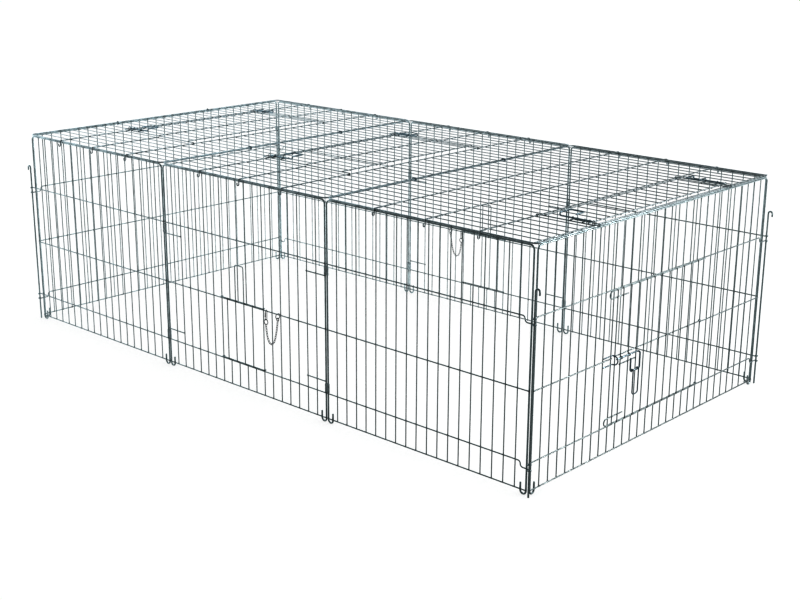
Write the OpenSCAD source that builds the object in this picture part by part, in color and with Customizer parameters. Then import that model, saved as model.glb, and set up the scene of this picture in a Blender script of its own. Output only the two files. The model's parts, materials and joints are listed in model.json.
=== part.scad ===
/* [Wires] */
// Diameter of the bent wire round each wall
frame_d = 4.5; // [3.6:0.1:5.4]
// Diameter of the upright bars
bar_d = 2.5; // [2.2:0.1:3]
// Diameter of the level wires that tie the bars together
row_d = 3; // [2.6:0.1:3.4]
// Diameter of the wire round each cover section
cover_frame_d = 4; // [3.2:0.1:4.8]
// Diameter of the lengthwise wires in the cover and its flaps
cover_wire_d = 2.2; // [2.1:0.1:2.6]
// Diameter of the cross wires of the cover, its flaps and their side wires
cross_d = 3; // [2.6:0.1:3.4]
// Depth that two crossing wires sink into each other at a weld
weld = 0.45; // [0.3:0.05:0.6]
// Length that a wire runs on past the wire it is welded to
overhang = 1.3; // [1:0.1:1.6]
/* [Walls] */
// Distance between neighbouring upright bars
wire_pitch = 37.4; // [34:0.2:41]
// Gaps between the posts of one side wall panel
side_gaps = 19; // [17:1:22]
// Gaps between the posts of an end wall
end_gaps = 30; // [28:2:34]
// Height of the top wire above the ground
wall_top = 652; // [630:1:700]
// Height of the bottom level wire
bottom_row = 14; // [12:0.5:18]
// Height of the lower level wire
lower_row = 90; // [84:1:100]
// Height of the middle level wire
middle_row = 281; // [270:1:292]
// Height of the upper level wire
upper_row = 472; // [460:1:484]
// Bend radius at the top corners of a wall
wall_corner_r = 12; // [8:1:16]
// Width of the hooked foot between its two legs
foot_w = 18; // [14:1:22]
// Height of the foot's short leg
foot_h = 32; // [26:1:40]
/* [Corners and hinges] */
// Distance between the posts of two neighbouring side panels
panel_gap = 8; // [7.4:0.1:10]
// Distance from a post to the corner where two walls would meet
corner_back = 6.5; // [5.5:0.1:9]
// Drop of the level wires just before the lower eye of a corner
kink_drop = 16; // [12:0.5:20]
// Height of a hinge sleeve
sleeve_h = 26; // [20:1:28]
// Wall thickness of a hinge sleeve
sleeve_wall = 1.1; // [0.8:0.1:1.2]
// Distance from a level wire to the short stub wire beside it
stub_drop = 35; // [33:1:40]
// Diameter of a corner rod
rod_d = 4.5; // [3.8:0.1:5]
// Height of a corner rod
rod_h = 548; // [530:1:580]
// Width of the crook at the top of a corner rod
crook_w = 13; // [9:0.5:13]
// Length of the crook's short leg
crook_h = 15; // [12:1:20]
// Play between a wire and the eye or staple around it
play = 0.4; // [0.3:0.05:0.5]
// Play between a corner rod and the eyes around it
rod_play = 0.8; // [0.4:0.1:1]
// Gap left where one part lies on another
rest_gap = 0.3; // [0.3:0.05:0.5]
/* [Hatches] */
// Bar beside which a hatch opening starts
hatch_first = 7; // [5:1:9]
// Gaps that a hatch opening is wide
hatch_gaps = 5; // [4:1:6]
// Sideways shift of the hatch's bars from the wall's bars
hatch_shift = 6; // [5:0.5:8]
// Height of the pull above the hatch's top wire
hatch_pull_h = 112; // [90:1:125]
// Bend radius at the top of the hatch's pull
hatch_pull_r = 6; // [4:0.5:10]
/* [Door] */
// Bar that the door closes against
door_jamb = 9; // [8:1:10]
// Gaps that the door opening is wide
door_gaps = 12; // [10:1:13]
// Distance from the jamb bar to the free edge of the door
edge_inset = 11; // [10:0.5:12]
// Length that the door's stop hooks reach past the jamb bar
stop_reach = 12; // [11:0.5:15]
// Height between the two legs of a stop hook
stop_h = 20; // [16:1:24]
// Length of a stop hook's free leg
stop_leg = 76; // [66:1:84]
/* [Latches] */
// Diameter of a latch bolt
bolt_d = 4; // [3.6:0.1:4.4]
// Height of the door's middle wire above its bolt
bolt_drop = 8; // [7.5:0.5:10]
// Diameter of the staples that guide a bolt
staple_d = 2; // [1.8:0.1:2]
// Length of a bolt's straight part
bolt_l = 100; // [98:1:110]
// Distance from the tip of a bolt at rest to the edge it locks across
bolt_back = 4; // [3.5:0.5:6]
// Width of a bolt's grip loop
grip_w = 44; // [42:1:50]
// Length of a bolt's grip loop
grip_l = 46; // [40:1:50]
// Distance that the grip loop stands out
grip_out = 8; // [7:0.5:12]
// Bend radius at the corners of the grip loop
grip_r = 6; // [5:0.5:8]
// Distance from the end of the grip loop to the line of the bolt
grip_end = 8; // [7:0.5:10]
// Width of the keeper on the end wall
keeper_w = 25; // [25:1:28]
// Distance that the keeper stands out from the end wall
keeper_out = 17; // [16.5:0.5:20]
// Bend radius of the keeper's hoop
keeper_r = 12; // [11:0.5:12]
// Bend radius where the keeper leaves the wall
keeper_bend = 3.5; // [3:0.1:4]
// Diameter of the hanging pull's wire
pull_d = 3; // [2.4:0.1:3.4]
// Width of the hanging pull
pull_w = 26; // [18:1:28]
// Length of the hanging pull
pull_l = 68; // [50:1:90]
// Bend radius at the lower corners of the hanging pull
pull_r = 8; // [6:0.5:9]
/* [Cover] */
// Distance between the edge wires of neighbouring cover sections
cover_gap = 8; // [7.6:0.1:10]
// Bend radius at the corners of a cover section
cover_corner_r = 15; // [10:1:20]
// Distance from the side of a section to its cross wires
cross_pitch = 180; // [174:1:184]
// Gap between the wall and the cover's lugs
lug_gap = 1; // [0.8:0.1:1.5]
// Depth that a lug hangs down outside the wall
lug_drop = 18; // [14:1:22]
// Width of a lug's turned-up end
lug_w = 7; // [6.8:0.1:9]
// Length of the short wire that stiffens the end of a cross wire
lug_tail = 70; // [50:1:90]
// Half width of the flaps in the left and middle sections, in wires
flap_half = 8; // [6:1:10]
// Half width of the flap in the right section, in wires
end_flap_half = 9; // [8:1:11]
// Distance from the side wire of a flap to the wire beside its opening
flap_side = 5; // [4:0.5:8]
// Distance from the flap's hinge to its first cross wire
flap_back = 26; // [20:1:32]
// Distance from the stop wire to the flap's front cross wire
flap_front = 9; // [8:0.5:12]
// Distance from the end of the cover to the stop wire of the right flap
stop_back = 6; // [5:0.5:9]
// Diameter of the clips that tie the cover together
clip_d = 2.5; // [2.2:0.1:2.8]
// Distance from the middle of the cover to a clip, in wires
clip_at = 5.5; // [4.5:1:6.5]
/* [Chains] */
// Diameter of a chain link's wire
link_d = 1.2; // [1:0.1:1.3]
// Width of a chain link between wire centres
link_w = 4.4; // [4.2:0.1:4.8]
// Distance from a hatch opening to the snap hook beside it
chain_back = 14.5; // [13:0.5:18]
// Number of links in a hatch chain
chain_links = 21; // [17:2:25]
// Bend radius of a hanging chain at its lowest point
chain_bow = 9; // [9:0.5:10]
// Lean of a hanging chain away from the bars, in degrees
chain_lean = 2.5; // [2:0.5:5]
// Diameter of the wire of the rings
ring_d = 2; // [1.8:0.1:2.2]
// Radius of a big ring
ring_r = 8; // [7:0.5:8.5]
// Radius of a small ring
small_ring_r = 4.5; // [4.2:0.1:5]
// Diameter of the snap hook's wire
snap_d = 1.8; // [1.6:0.1:2]
// Bend radius of the snap hook
snap_r = 3.2; // [3.2:0.1:3.6]
// Length of the snap hook's straight sides
snap_l = 24; // [20:1:28]
// Diameter of the snap hook's gate
gate_d = 3.2; // [2.8:0.1:3.4]
/* [Hidden] */
$fn = 48;
eye_turn = 255;                                  // how far an eye is bent round
row_out = (bar_d + row_d) / 2 - weld;            // level wires lie this far outside the bars
side_w = side_gaps * wire_pitch;
end_w = end_gaps * wire_pitch;
run_l = 3 * side_w + 2 * panel_gap + 2 * corner_back;
run_w = end_w + 2 * corner_back;
eye_r = (rod_d + row_d) / 2 + rod_play;              // eyes round the corner rods
eye_out = row_out + eye_r;                       // rod axis outside the wall's bars
eye_end = corner_back + eye_out;                 // rod axis past the end post
guide_r = bar_d / 2 + play + row_d / 2;          // eyes round an upright bar
leaf_out = guide_r + (row_d + bar_d) / 2 - weld; // bars of a door or hatch outside the wall's bars
bolt_out = leaf_out + (bar_d + bolt_d) / 2 + play;
staple_r = bolt_d / 2 + play + staple_d / 2;
seat = row_d + rest_gap;                         // height from a wall's wire to a leaf's wire on it
cover_z = wall_top + (frame_d + cover_frame_d) / 2 + rest_gap;
cross_up = (cover_wire_d + cross_d) / 2 - weld;  // heights above the cover's frame, from here
hinge_r = cross_d + play;                        // eyes round a cover's cross wire
flap_up = cross_up + hinge_r;
flap_cross_up = flap_up + (cover_wire_d + cross_d) / 2 - weld;
cover_bolt_up = flap_cross_up + (cross_d + bolt_d) / 2 + play;
cover_pitch = run_w / end_gaps;
section_l = (run_l - 2 * cover_gap) / 3;
section_x = [for (i = [0 : 2]) -run_l / 2 + i * (section_l + cover_gap)];
bolt_z = middle_row + seat - bolt_drop;
staple_x = [wire_pitch - edge_inset - bolt_back, 2 * wire_pitch - edge_inset - bolt_back];
clip_y = clip_at * cover_pitch;
hinge_x = 3 * cross_pitch;                        // a flap's hinge wire, from the left side of its section
rod_x = run_l / 2 + eye_out;
rod_y = run_w / 2 + eye_out;

// ---- wires ----
function unit(v) = v / norm(v);
function turn(a, b, c) = acos(max(-1, min(1, unit(b - a) * unit(c - b))));
function radius(r, i) = is_list(r) ? r[i - 1] : r;
function setback(pts, r, i) =
    i == 0 || i == len(pts) - 1 ? 0 : radius(r, i) * tan(turn(pts[i - 1], pts[i], pts[i + 1]) / 2);

// Straight round wire from point a to point b
module rod(a, b, d) {
    v = b - a;
    translate(a) rotate([0, acos(v.z / norm(v)), atan2(v.y, v.x)]) cylinder(h = norm(v), d = d);
}

// Round bend of radius r where the line a-b turns into the line b-c
module bend(a, b, c, d, r) {
    u = unit(b - a);
    w = unit(cross(u, unit(c - b)));
    x = cross(u, w);
    t = turn(a, b, c);
    o = b - u * r * tan(t / 2) - x * r;
    multmatrix([[x.x, u.x, w.x, o.x], [x.y, u.y, w.y, o.y], [x.z, u.z, w.z, o.z], [0, 0, 0, 1]])
        rotate_extrude(angle = t) translate([r, 0]) circle(d = d);
}

// Wire through corner points, with a bend of radius r (or one radius each) at every inner point
module wire(pts, d, r) {
    for (i = [0 : len(pts) - 2]) {
        u = unit(pts[i + 1] - pts[i]);
        a = pts[i] + u * setback(pts, r, i);
        b = pts[i + 1] - u * setback(pts, r, i + 1);
        if (norm(b - a) > 0.01) rod(a, b, d);
    }
    for (i = [1 : 1 : len(pts) - 2]) bend(pts[i - 1], pts[i], pts[i + 1], d, radius(r, i));
}

// Open eye in the XY plane round the origin; it starts at +Y and turns away from the wire's side
module eye(r, d) {
    rotate([0, 0, 90]) rotate_extrude(angle = eye_turn) translate([r, 0]) circle(d = d);
}

// Closed oval ring in the XY plane: two half circles of radius r, their centres a distance l apart
module oval(l, r, d) {
    for (k = [0, 1]) rotate([0, 0, 180 * k]) {
        translate([l / 2, 0, 0]) rotate([0, 0, -90])
            rotate_extrude(angle = 180) translate([r, 0]) circle(d = d);
        translate([-l / 2, r, 0]) rotate([0, 90, 0]) cylinder(h = l, d = d);
    }
}

module ring(r, d) {
    rotate_extrude() translate([r, 0]) circle(d = d);
}

// Staple that holds a bolt: an arch from the wire it is welded on, h below the bolt's axis
module staple(h) {
    wire([[-staple_r, 0, -h], [-staple_r, 0, staple_r], [staple_r, 0, staple_r], [staple_r, 0, -h]],
         staple_d, staple_r);
}

// ---- walls, drawn from post to post along X, with the outside at -Y ----
// Bent frame wire with a hooked foot at each post
module wall_frame(w) {
    foot_z = frame_d / 2;
    wire([[foot_w, 0, foot_h], [foot_w, 0, foot_z], [0, 0, foot_z], [0, 0, wall_top],
          [w, 0, wall_top], [w, 0, foot_z], [w - foot_w, 0, foot_z], [w - foot_w, 0, foot_h]],
         frame_d, [foot_w / 2, foot_w / 2, wall_corner_r, wall_corner_r, foot_w / 2, foot_w / 2]);
}

module bar(x, z0, z1) {
    translate([x, 0, z0]) cylinder(h = z1 - z0, d = bar_d);
}

module level_wire(x0, x1, z) {
    rod([x0, -row_out, z], [x1, -row_out, z], row_d);
}

// Level wire that ends in an eye round the corner rod left of the wall
module eyed_left(x1, z) {
    level_wire(-eye_end, x1, z);
    translate([-eye_end, -eye_out, z]) eye(eye_r, row_d);
}

// Level wire that drops and ends in an eye round the corner rod right of the wall
module eyed_right(x0, w, z) {
    low = z - kink_drop;
    kink = w - wire_pitch / 2;
    wire([[x0, -row_out, z], [kink, -row_out, z], [kink, -row_out, low],
          [w + eye_end, -row_out, low]], row_d, kink_drop / 2);
    translate([w + eye_end, -eye_out, low]) mirror([1, 0, 0]) eye(eye_r, row_d);
}

// Side wall panel; left and right say whether that post stands at a corner of the run
module side_panel(left, right, hatch) {
    w = side_w;
    wall_frame(w);
    for (i = [1 : side_gaps - 1]) {
        cut = hatch && i > hatch_first && i < hatch_first + hatch_gaps;
        if (cut) {
            bar(i * wire_pitch, bottom_row - overhang, lower_row + overhang);
            bar(i * wire_pitch, middle_row - overhang, wall_top);
        } else bar(i * wire_pitch, bottom_row - overhang, wall_top);
    }
    for (z = [bottom_row, middle_row]) level_wire(-overhang, w + overhang, z);
    for (z = [lower_row, upper_row]) {
        if (left) eyed_left(w + overhang, z);
        if (right) eyed_right(-overhang, w, z);
        if (!left && !right) level_wire(-overhang, w + overhang, z);
    }
    if (!left && !right) for (s = [0, 1], z = [lower_row + stub_drop, upper_row - stub_drop])
        translate([s * w, 0, 0]) mirror([s, 0, 0]) level_wire(-overhang, 2 * wire_pitch + overhang, z);
}

// End wall with an eye at both ends; with a door it has an opening
module end_panel(door) {
    w = end_w;
    hinge = door_jamb + door_gaps;
    wall_frame(w);
    for (i = [1 : end_gaps - 1]) {
        if (door && i > door_jamb && i < hinge) {
            bar(i * wire_pitch, bottom_row - overhang, lower_row + overhang);
            bar(i * wire_pitch, upper_row - overhang, wall_top);
        } else bar(i * wire_pitch, bottom_row - overhang, wall_top);
    }
    level_wire(-overhang, w + overhang, bottom_row);
    if (door) {
        level_wire(-overhang, door_jamb * wire_pitch + overhang, middle_row);
        level_wire(hinge * wire_pitch - overhang, w + overhang, middle_row);
    } else level_wire(-overhang, w + overhang, middle_row);
    for (z = [lower_row, upper_row]) {
        eyed_left(w / 2, z);
        eyed_right(w / 2, w, z);
    }
}

// Places a side panel of the front wall; the back wall is the same three, turned round
module place_side(i) {
    translate([-run_l / 2 + corner_back + i * (side_w + panel_gap), -run_w / 2, 0]) children();
}

module place_end() {
    translate([run_l / 2, -run_w / 2 + corner_back, 0]) rotate([0, 0, 90]) children();
}

module turned() {
    rotate([0, 0, 180]) children();
}

module front_wall_left() color("lightslategray") place_side(0) side_panel(true, false, false);
module front_wall_middle() color("slategray") place_side(1) side_panel(false, false, true);
module front_wall_right() color("lightslategray") place_side(2) side_panel(false, true, false);
module back_wall_right() color("lightslategray") turned() place_side(0) side_panel(true, false, false);
module back_wall_middle() color("slategray") turned() place_side(1) side_panel(false, false, true);
module back_wall_left() color("lightslategray") turned() place_side(2) side_panel(false, true, false);
module right_end_wall() color("slategray") place_end() end_panel(true);
module left_end_wall() color("slategray") turned() place_end() end_panel(false);

// ---- hinge sleeves round two neighbouring posts, one above the other ----
module sleeve_pair(i) {
    bore = frame_d / 2 + play;
    x = side_w + panel_gap / 2;
    rest = row_d / 2 + rest_gap;
    past = 1;
    place_side(i) for (z = [lower_row + rest, upper_row - stub_drop + rest]) translate([x, 0, z])
        difference() {
            union() {
                for (s = [-1, 1]) translate([s * panel_gap / 2, 0, 0])
                    cylinder(h = sleeve_h, r = bore + sleeve_wall);
                translate([-panel_gap / 2, -sleeve_wall, 0]) cube([panel_gap, 2 * sleeve_wall, sleeve_h]);
            }
            for (s = [-1, 1]) translate([s * panel_gap / 2, 0, -past])
                cylinder(h = sleeve_h + 2 * past, r = bore);
        }
}
module front_left_sleeves() color("silver") sleeve_pair(0);
module front_right_sleeves() color("silver") sleeve_pair(1);
module back_right_sleeves() color("silver") turned() sleeve_pair(0);
module back_left_sleeves() color("silver") turned() sleeve_pair(1);

// ---- corner rods, standing on the ground through the eyes of two walls ----
module corner_rod(sx, sy) {
    translate([sx * rod_x, sy * rod_y, 0]) scale_x(sx)
        wire([[0, 0, 0], [0, 0, rod_h], [crook_w, 0, rod_h], [crook_w, 0, rod_h - crook_h]],
             rod_d, crook_w / 2);
}
module scale_x(s) {
    if (s < 0) mirror([1, 0, 0]) children();
    else children();
}
module front_left_rod() color("gray") corner_rod(-1, -1);
module front_right_rod() color("gray") corner_rod(1, -1);
module back_left_rod() color("gray") corner_rod(-1, 1);
module back_right_rod() color("gray") corner_rod(1, 1);

// ---- sliding hatch, in the frame of its wall panel ----
module hatch() {
    w = hatch_gaps * wire_pitch;
    low = lower_row + seat;
    high = middle_row + seat;
    pull_z = high + hatch_pull_h;
    mid = floor(hatch_gaps / 2);
    translate([hatch_first * wire_pitch, 0, 0]) {
        for (z = [low, high]) {
            rod([0, -guide_r, z], [w, -guide_r, z], row_d);
            translate([0, 0, z]) mirror([0, 1, 0]) eye(guide_r, row_d);
            translate([w, 0, z]) mirror([1, 0, 0]) mirror([0, 1, 0]) eye(guide_r, row_d);
        }
        for (i = [1 : hatch_gaps - 1]) if (i != mid && i != mid + 1)
            leaf_bar(i * wire_pitch - hatch_shift, low, high);
        wire([[mid * wire_pitch - hatch_shift, -leaf_out, low - overhang],
              [mid * wire_pitch - hatch_shift, -leaf_out, pull_z],
              [(mid + 1) * wire_pitch - hatch_shift, -leaf_out, pull_z],
              [(mid + 1) * wire_pitch - hatch_shift, -leaf_out, low - overhang]], bar_d, hatch_pull_r);
    }
}
module leaf_bar(x, z0, z1) {
    rod([x, -leaf_out, z0 - overhang], [x, -leaf_out, z1 + overhang], bar_d);
}
module front_hatch() color("silver") place_side(1) hatch();
module back_hatch() color("silver") turned() place_side(1) hatch();

// ---- end door, in the frame of the end wall ----
door_low = lower_row + seat;
door_mid = middle_row + seat;
door_high = upper_row - seat;
module door() {
    jamb = door_jamb * wire_pitch;
    hinge = jamb + door_gaps * wire_pitch;
    edge = jamb + edge_inset;
    for (s = [-1, 1]) {
        z = s < 0 ? door_low : door_high;
        wire([[hinge, -guide_r, z], [jamb - stop_reach - stop_h / 2, -guide_r, z],
              [jamb - stop_reach - stop_h / 2, -guide_r, z - s * stop_h],
              [jamb - stop_reach + stop_leg, -guide_r, z - s * stop_h]], row_d, stop_h / 2);
    }
    rod([hinge, -guide_r, door_mid], [edge - overhang, -guide_r, door_mid], row_d);
    for (z = [door_low, door_mid, door_high]) translate([hinge, 0, z])
        mirror([1, 0, 0]) mirror([0, 1, 0]) eye(guide_r, row_d);
    leaf_bar(edge, door_low, door_high);
    for (i = [1 : door_gaps - 1]) leaf_bar(jamb + i * wire_pitch, door_low, door_high);
    rail_z = bolt_z - stop_h;
    rod([jamb + wire_pitch - overhang, -guide_r, rail_z],
        [jamb + 3 * wire_pitch + overhang, -guide_r, rail_z], row_d);
    for (i = [1, 2]) translate([jamb + i * wire_pitch, -bolt_out, bolt_z])
        rotate([90, 0, 0]) rotate([0, 0, 90]) staple(bolt_out - leaf_out);
}
module end_door() color("silver") place_end() door();

// Keeper, welded on the end wall: a wire across two bars, bent out to a hoop beside the jamb
module keeper() {
    x0 = (door_jamb - 1) * wire_pitch - overhang;
    x1 = door_jamb * wire_pitch + edge_inset / 2;
    low = bolt_z - keeper_w / 2;
    high = bolt_z + keeper_w / 2;
    y = -row_out - keeper_out;
    wire([[x0, -row_out, low], [x1, -row_out, low], [x1, y, low],
          [x1, y, high], [x1, -row_out, high], [x0, -row_out, high]],
         row_d, [keeper_bend, keeper_r, keeper_r, keeper_bend]);
}
module door_keeper() color("dimgray") place_end() keeper();

// ---- sliding bolts; the tip is at the origin and points to +X, +Z faces out ----
// side is 1 or -1: the way that the grip loop turns
module bolt(side) {
    back = grip_w - bolt_l;
    y = side * grip_l;
    bend_r = grip_out / 2;
    wire([[0, 0, 0], [-bolt_l, 0, 0], [-bolt_l, 0, grip_out], [-bolt_l, y, grip_out],
          [back, y, grip_out], [back, side * grip_end, grip_out]],
         bolt_d, [bend_r, bend_r, grip_r, grip_r]);
}

// Hanging pull with two eyes round the end of the door bolt's grip loop
module pull() {
    r = (bolt_d + pull_d) / 2 + play;
    y = grip_l + pull_l;
    translate([grip_w / 2 - bolt_l, 0, grip_out]) {
        wire([[-pull_w / 2, grip_l, r], [-pull_w / 2, y, r], [pull_w / 2, y, r],
              [pull_w / 2, grip_l, r]], pull_d, pull_r);
        for (s = [-1, 1]) translate([s * pull_w / 2, grip_l, 0]) rotate([90, 0, 90]) eye(r, pull_d);
    }
}
module place_door_bolt() {
    place_end() translate([door_jamb * wire_pitch + edge_inset + bolt_back, -bolt_out, bolt_z])
        rotate([0, 180, 0]) rotate([90, 0, 0]) children();
}
module door_bolt() color("dimgray") place_door_bolt() bolt(1);
module door_pull() color("gray") place_door_bolt() pull();

// ---- hatch chain; the origin is on the wall's middle wire, above the snap hook ----
function chain_x(s) = chain_bow * ln(s / chain_bow + sqrt(pow(s / chain_bow, 2) + 1));
function chain_z(s) = sqrt(chain_bow * chain_bow + s * s);
link_l = 2 * link_w;
link_pitch = link_l - link_d - play;
chain_l = chain_links * link_pitch;
// height of a chain's end above the ring that holds its first or last link
chain_hold = (ring_d + link_d) / 2 + rest_gap - (link_l - link_pitch) / 2;
snap_z = (row_d + snap_d) / 2 + play - snap_r - snap_l / 2;
hook_ring_z = snap_z - snap_l / 2 - snap_r + (snap_d + ring_d) / 2 + play - ring_r;
wall_ring_z = (row_d + ring_d) / 2 + play - ring_r;
small_ring_z = wall_ring_z - ring_r + ring_d + play - small_ring_r;
chain_start = hook_ring_z - ring_r + chain_hold;
chain_rise = small_ring_z - small_ring_r + chain_hold - chain_start;
// length of chain from its first link to the lowest point, as a root of a quadratic
steep = chain_l / chain_rise;
spare = (chain_l * steep - chain_rise) / 2;
steep_more = steep * steep - 1;
slope = spare * steep;
chain_s = (slope - sqrt(slope * slope - steep_more * (spare * spare - chain_bow * chain_bow))) / steep_more;
chain_span = chain_x(chain_s) + chain_x(chain_l - chain_s);
function joint(k) = let (s = k * link_pitch - chain_s)
    [chain_x(chain_s) + chain_x(s), 0, chain_start + chain_z(s) - chain_z(chain_s)];

module place_chain() {
    place_side(1) translate([(hatch_first + hatch_gaps) * wire_pitch + chain_back, -row_out, middle_row])
        rotate([-chain_lean, 0, 0]) children();
}

module snap_hook() {
    translate([0, 0, snap_z]) {
        rotate([0, -90, 0]) oval(snap_l, snap_r, snap_d);
        rod([0, -snap_r, -snap_l / 4], [0, -snap_r, snap_l / 3], gate_d);
    }
}

// Links between joints along a hanging curve, each turned a quarter against its neighbour
module chain() {
    for (k = [0 : chain_links - 1]) {
        v = joint(k + 1) - joint(k);
        translate((joint(k) + joint(k + 1)) / 2) rotate([0, -atan2(v.z, v.x), 0])
            rotate([90 * (k % 2), 0, 0]) oval(link_l - link_w, link_w / 2, link_d);
    }
}

module chain_rings() {
    translate([0, 0, hook_ring_z]) rotate([90, 0, 0]) ring(ring_r, ring_d);
    translate([chain_span, 0, wall_ring_z]) rotate([0, 90, 0]) ring(ring_r, ring_d);
    translate([chain_span, 0, small_ring_z]) rotate([90, 0, 0]) ring(small_ring_r, ring_d);
}
module front_snap_hook() color("goldenrod") place_chain() snap_hook();
module front_chain() color("silver") place_chain() chain();
module front_chain_rings() color("gray") place_chain() chain_rings();
module back_snap_hook() color("goldenrod") turned() place_chain() snap_hook();
module back_chain() color("silver") turned() place_chain() chain();
module back_chain_rings() color("gray") turned() place_chain() chain_rings();

// ---- cover sections; the flap of a section lies between its hinge wire and its stop wire ----
function flap_w(half) = half * cover_pitch - flap_side;
function flap_bolt_y(half) = flap_w(half) - stop_h / 2;

// hinge and stop are distances from the section's left side, half is half the opening in gaps
module section(i, hinge, stop, half) {
    y = run_w / 2;
    open_from = min(hinge, stop);
    open_to = max(hinge, stop);
    translate([section_x[i], 0, cover_z]) {
        wire([[section_l / 2, -y, 0], [section_l, -y, 0], [section_l, y, 0],
              [0, y, 0], [0, -y, 0], [section_l / 2, -y, 0]],
             cover_frame_d, cover_corner_r);
        for (j = [1 : end_gaps - 1]) {
            wire_y = (j - end_gaps / 2) * cover_pitch;
            if (abs(j - end_gaps / 2) < half) {
                long_wire(wire_y, 0, open_from + overhang);
                if (open_to < section_l - 2 * stop_back) long_wire(wire_y, open_to - overhang, section_l);
            } else long_wire(wire_y, 0, section_l);
        }
        for (k = [1 : 3]) {
            x = k * cross_pitch;
            if (x > open_from && x < open_to) for (s = [-1, 1])
                cross_wire(x, s * (y + overhang), s * (half * cover_pitch - overhang));
            else cross_wire(x, -y - overhang, y + overhang);
            for (s = [-1, 1]) lug(x + cross_d - weld, s);
        }
        if (stop > hinge_x) cross_wire(stop, -y - overhang, y + overhang);
        for (s = [-1, 1]) translate([stop, s * flap_bolt_y(half), cover_bolt_up])
            rotate([0, 0, 90]) staple(cover_bolt_up - cross_up);
    }
}
module long_wire(y, x0, x1) {
    rod([x0, y, 0], [x1, y, 0], cover_wire_d);
}
module cross_wire(x, y0, y1) {
    rod([x, y0, cross_up], [x, y1, cross_up], cross_d);
}

// Short wire beside the end of a cross wire; it hooks down outside the wall
module lug(x, side) {
    out = run_w / 2 + (frame_d + cross_d) / 2 + lug_gap;
    low = cross_up - lug_drop;
    wire([[x, side * (run_w / 2 - lug_tail), cross_up], [x, side * out, cross_up],
          [x, side * out, low], [x, side * (out + lug_w), low],
          [x, side * (out + lug_w), low + lug_drop / 2]], cross_d, lug_w / 2);
}

// Flap, drawn from its hinge at x = 0 towards its stop wire at x = reach
module flap(reach, middle, half) {
    w = flap_w(half);
    tip = reach + stop_reach + stop_h / 2;
    rails = [for (x = staple_x) reach - bolt_back - x];
    for (s = [-1, 1]) {
        wire([[0, s * w, flap_up], [tip, s * w, flap_up], [tip, s * (w - stop_h), flap_up],
              [rails[1] - overhang, s * (w - stop_h), flap_up]], cross_d, stop_h / 2);
        translate([0, s * w, cross_up]) rotate([90, 0, 0]) eye(hinge_r, cross_d);
        for (x = rails) {
            rod([x, s * (w + overhang), flap_cross_up],
                [x, s * ((half - 1) * cover_pitch - overhang), flap_cross_up], cross_d);
            translate([x, s * flap_bolt_y(half), cover_bolt_up])
                rotate([0, 0, 90]) staple(cover_bolt_up - flap_cross_up);
        }
    }
    for (j = [1 - half : half - 1])
        rod([flap_back - overhang, j * cover_pitch, flap_up],
            [reach - flap_front + overhang, j * cover_pitch, flap_up], cover_wire_d);
    for (x = concat([flap_back, reach - flap_front], middle))
        rod([x, -w - overhang, flap_cross_up], [x, w + overhang, flap_cross_up], cross_d);
}
flap_reach = hinge_x - cross_pitch;
end_stop = section_l - stop_back;
end_reach = end_stop - hinge_x;

// A flap that opens to the left hangs on the third cross wire of its section
module place_flap(i) {
    translate([section_x[i] + hinge_x, 0, cover_z]) rotate([0, 0, i < 2 ? 180 : 0]) children();
}
module place_flap_bolt(i, side) {
    reach = i < 2 ? flap_reach : end_reach;
    y = flap_bolt_y(i < 2 ? flap_half : end_flap_half);
    place_flap(i) translate([reach - bolt_back, side * y, cover_bolt_up]) bolt(-side);
}
module cover_left() color("lightsteelblue") section(0, hinge_x, cross_pitch, flap_half);
module cover_middle() color("lightsteelblue") section(1, hinge_x, cross_pitch, flap_half);
module cover_right() color("lightsteelblue") section(2, hinge_x, end_stop, end_flap_half);
module flap_left() color("silver") place_flap(0) flap(flap_reach, [cross_pitch], flap_half);
module flap_middle() color("silver") place_flap(1) flap(flap_reach, [cross_pitch], flap_half);
module flap_right() color("silver") place_flap(2) flap(end_reach, [], end_flap_half);
module flap_left_bolt_front() color("dimgray") place_flap_bolt(0, 1);
module flap_left_bolt_back() color("dimgray") place_flap_bolt(0, -1);
module flap_middle_bolt_front() color("dimgray") place_flap_bolt(1, 1);
module flap_middle_bolt_back() color("dimgray") place_flap_bolt(1, -1);
module flap_right_bolt_front() color("dimgray") place_flap_bolt(2, -1);
module flap_right_bolt_back() color("dimgray") place_flap_bolt(2, 1);

// ---- clips that tie the cover to the left end wall and its sections together ----
module clip_pair(x) {
    for (s = [-1, 1]) translate([x, s * clip_y, cover_z]) rotate([90, 0, 0])
        oval(cover_gap, (cover_frame_d + clip_d) / 2 + play, clip_d);
}
module clips_end_wall() color("gray") {
    for (s = [-1, 1]) translate([-run_l / 2, s * clip_y, (wall_top + cover_z) / 2])
        rotate([0, 0, 90]) rotate([0, -90, 0])
            oval(cover_z - wall_top, (frame_d + clip_d) / 2 + play, clip_d);
}
module clips_left() color("gray") clip_pair(section_x[1] - cover_gap / 2);
module clips_right() color("gray") clip_pair(section_x[2] - cover_gap / 2);

front_wall_left();
front_wall_middle();
front_wall_right();
back_wall_left();
back_wall_middle();
back_wall_right();
left_end_wall();
right_end_wall();
front_left_sleeves();
front_right_sleeves();
back_left_sleeves();
back_right_sleeves();
front_left_rod();
front_right_rod();
back_left_rod();
back_right_rod();
front_hatch();
back_hatch();
end_door();
door_keeper();
door_bolt();
door_pull();
cover_left();
cover_middle();
cover_right();
flap_left();
flap_middle();
flap_right();
flap_left_bolt_front();
flap_left_bolt_back();
flap_middle_bolt_front();
flap_middle_bolt_back();
flap_right_bolt_front();
flap_right_bolt_back();
clips_end_wall();
clips_left();
clips_right();
front_snap_hook();
front_chain();
front_chain_rings();
back_snap_hook();
back_chain();
back_chain_rings();
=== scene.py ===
"""Outdoor rabbit run: hinged panels of galvanised welded wire, an end door, two lifting hatches and
a wire cover."""

import json

import bpy
import numpy as np
from mathutils import Matrix


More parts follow.
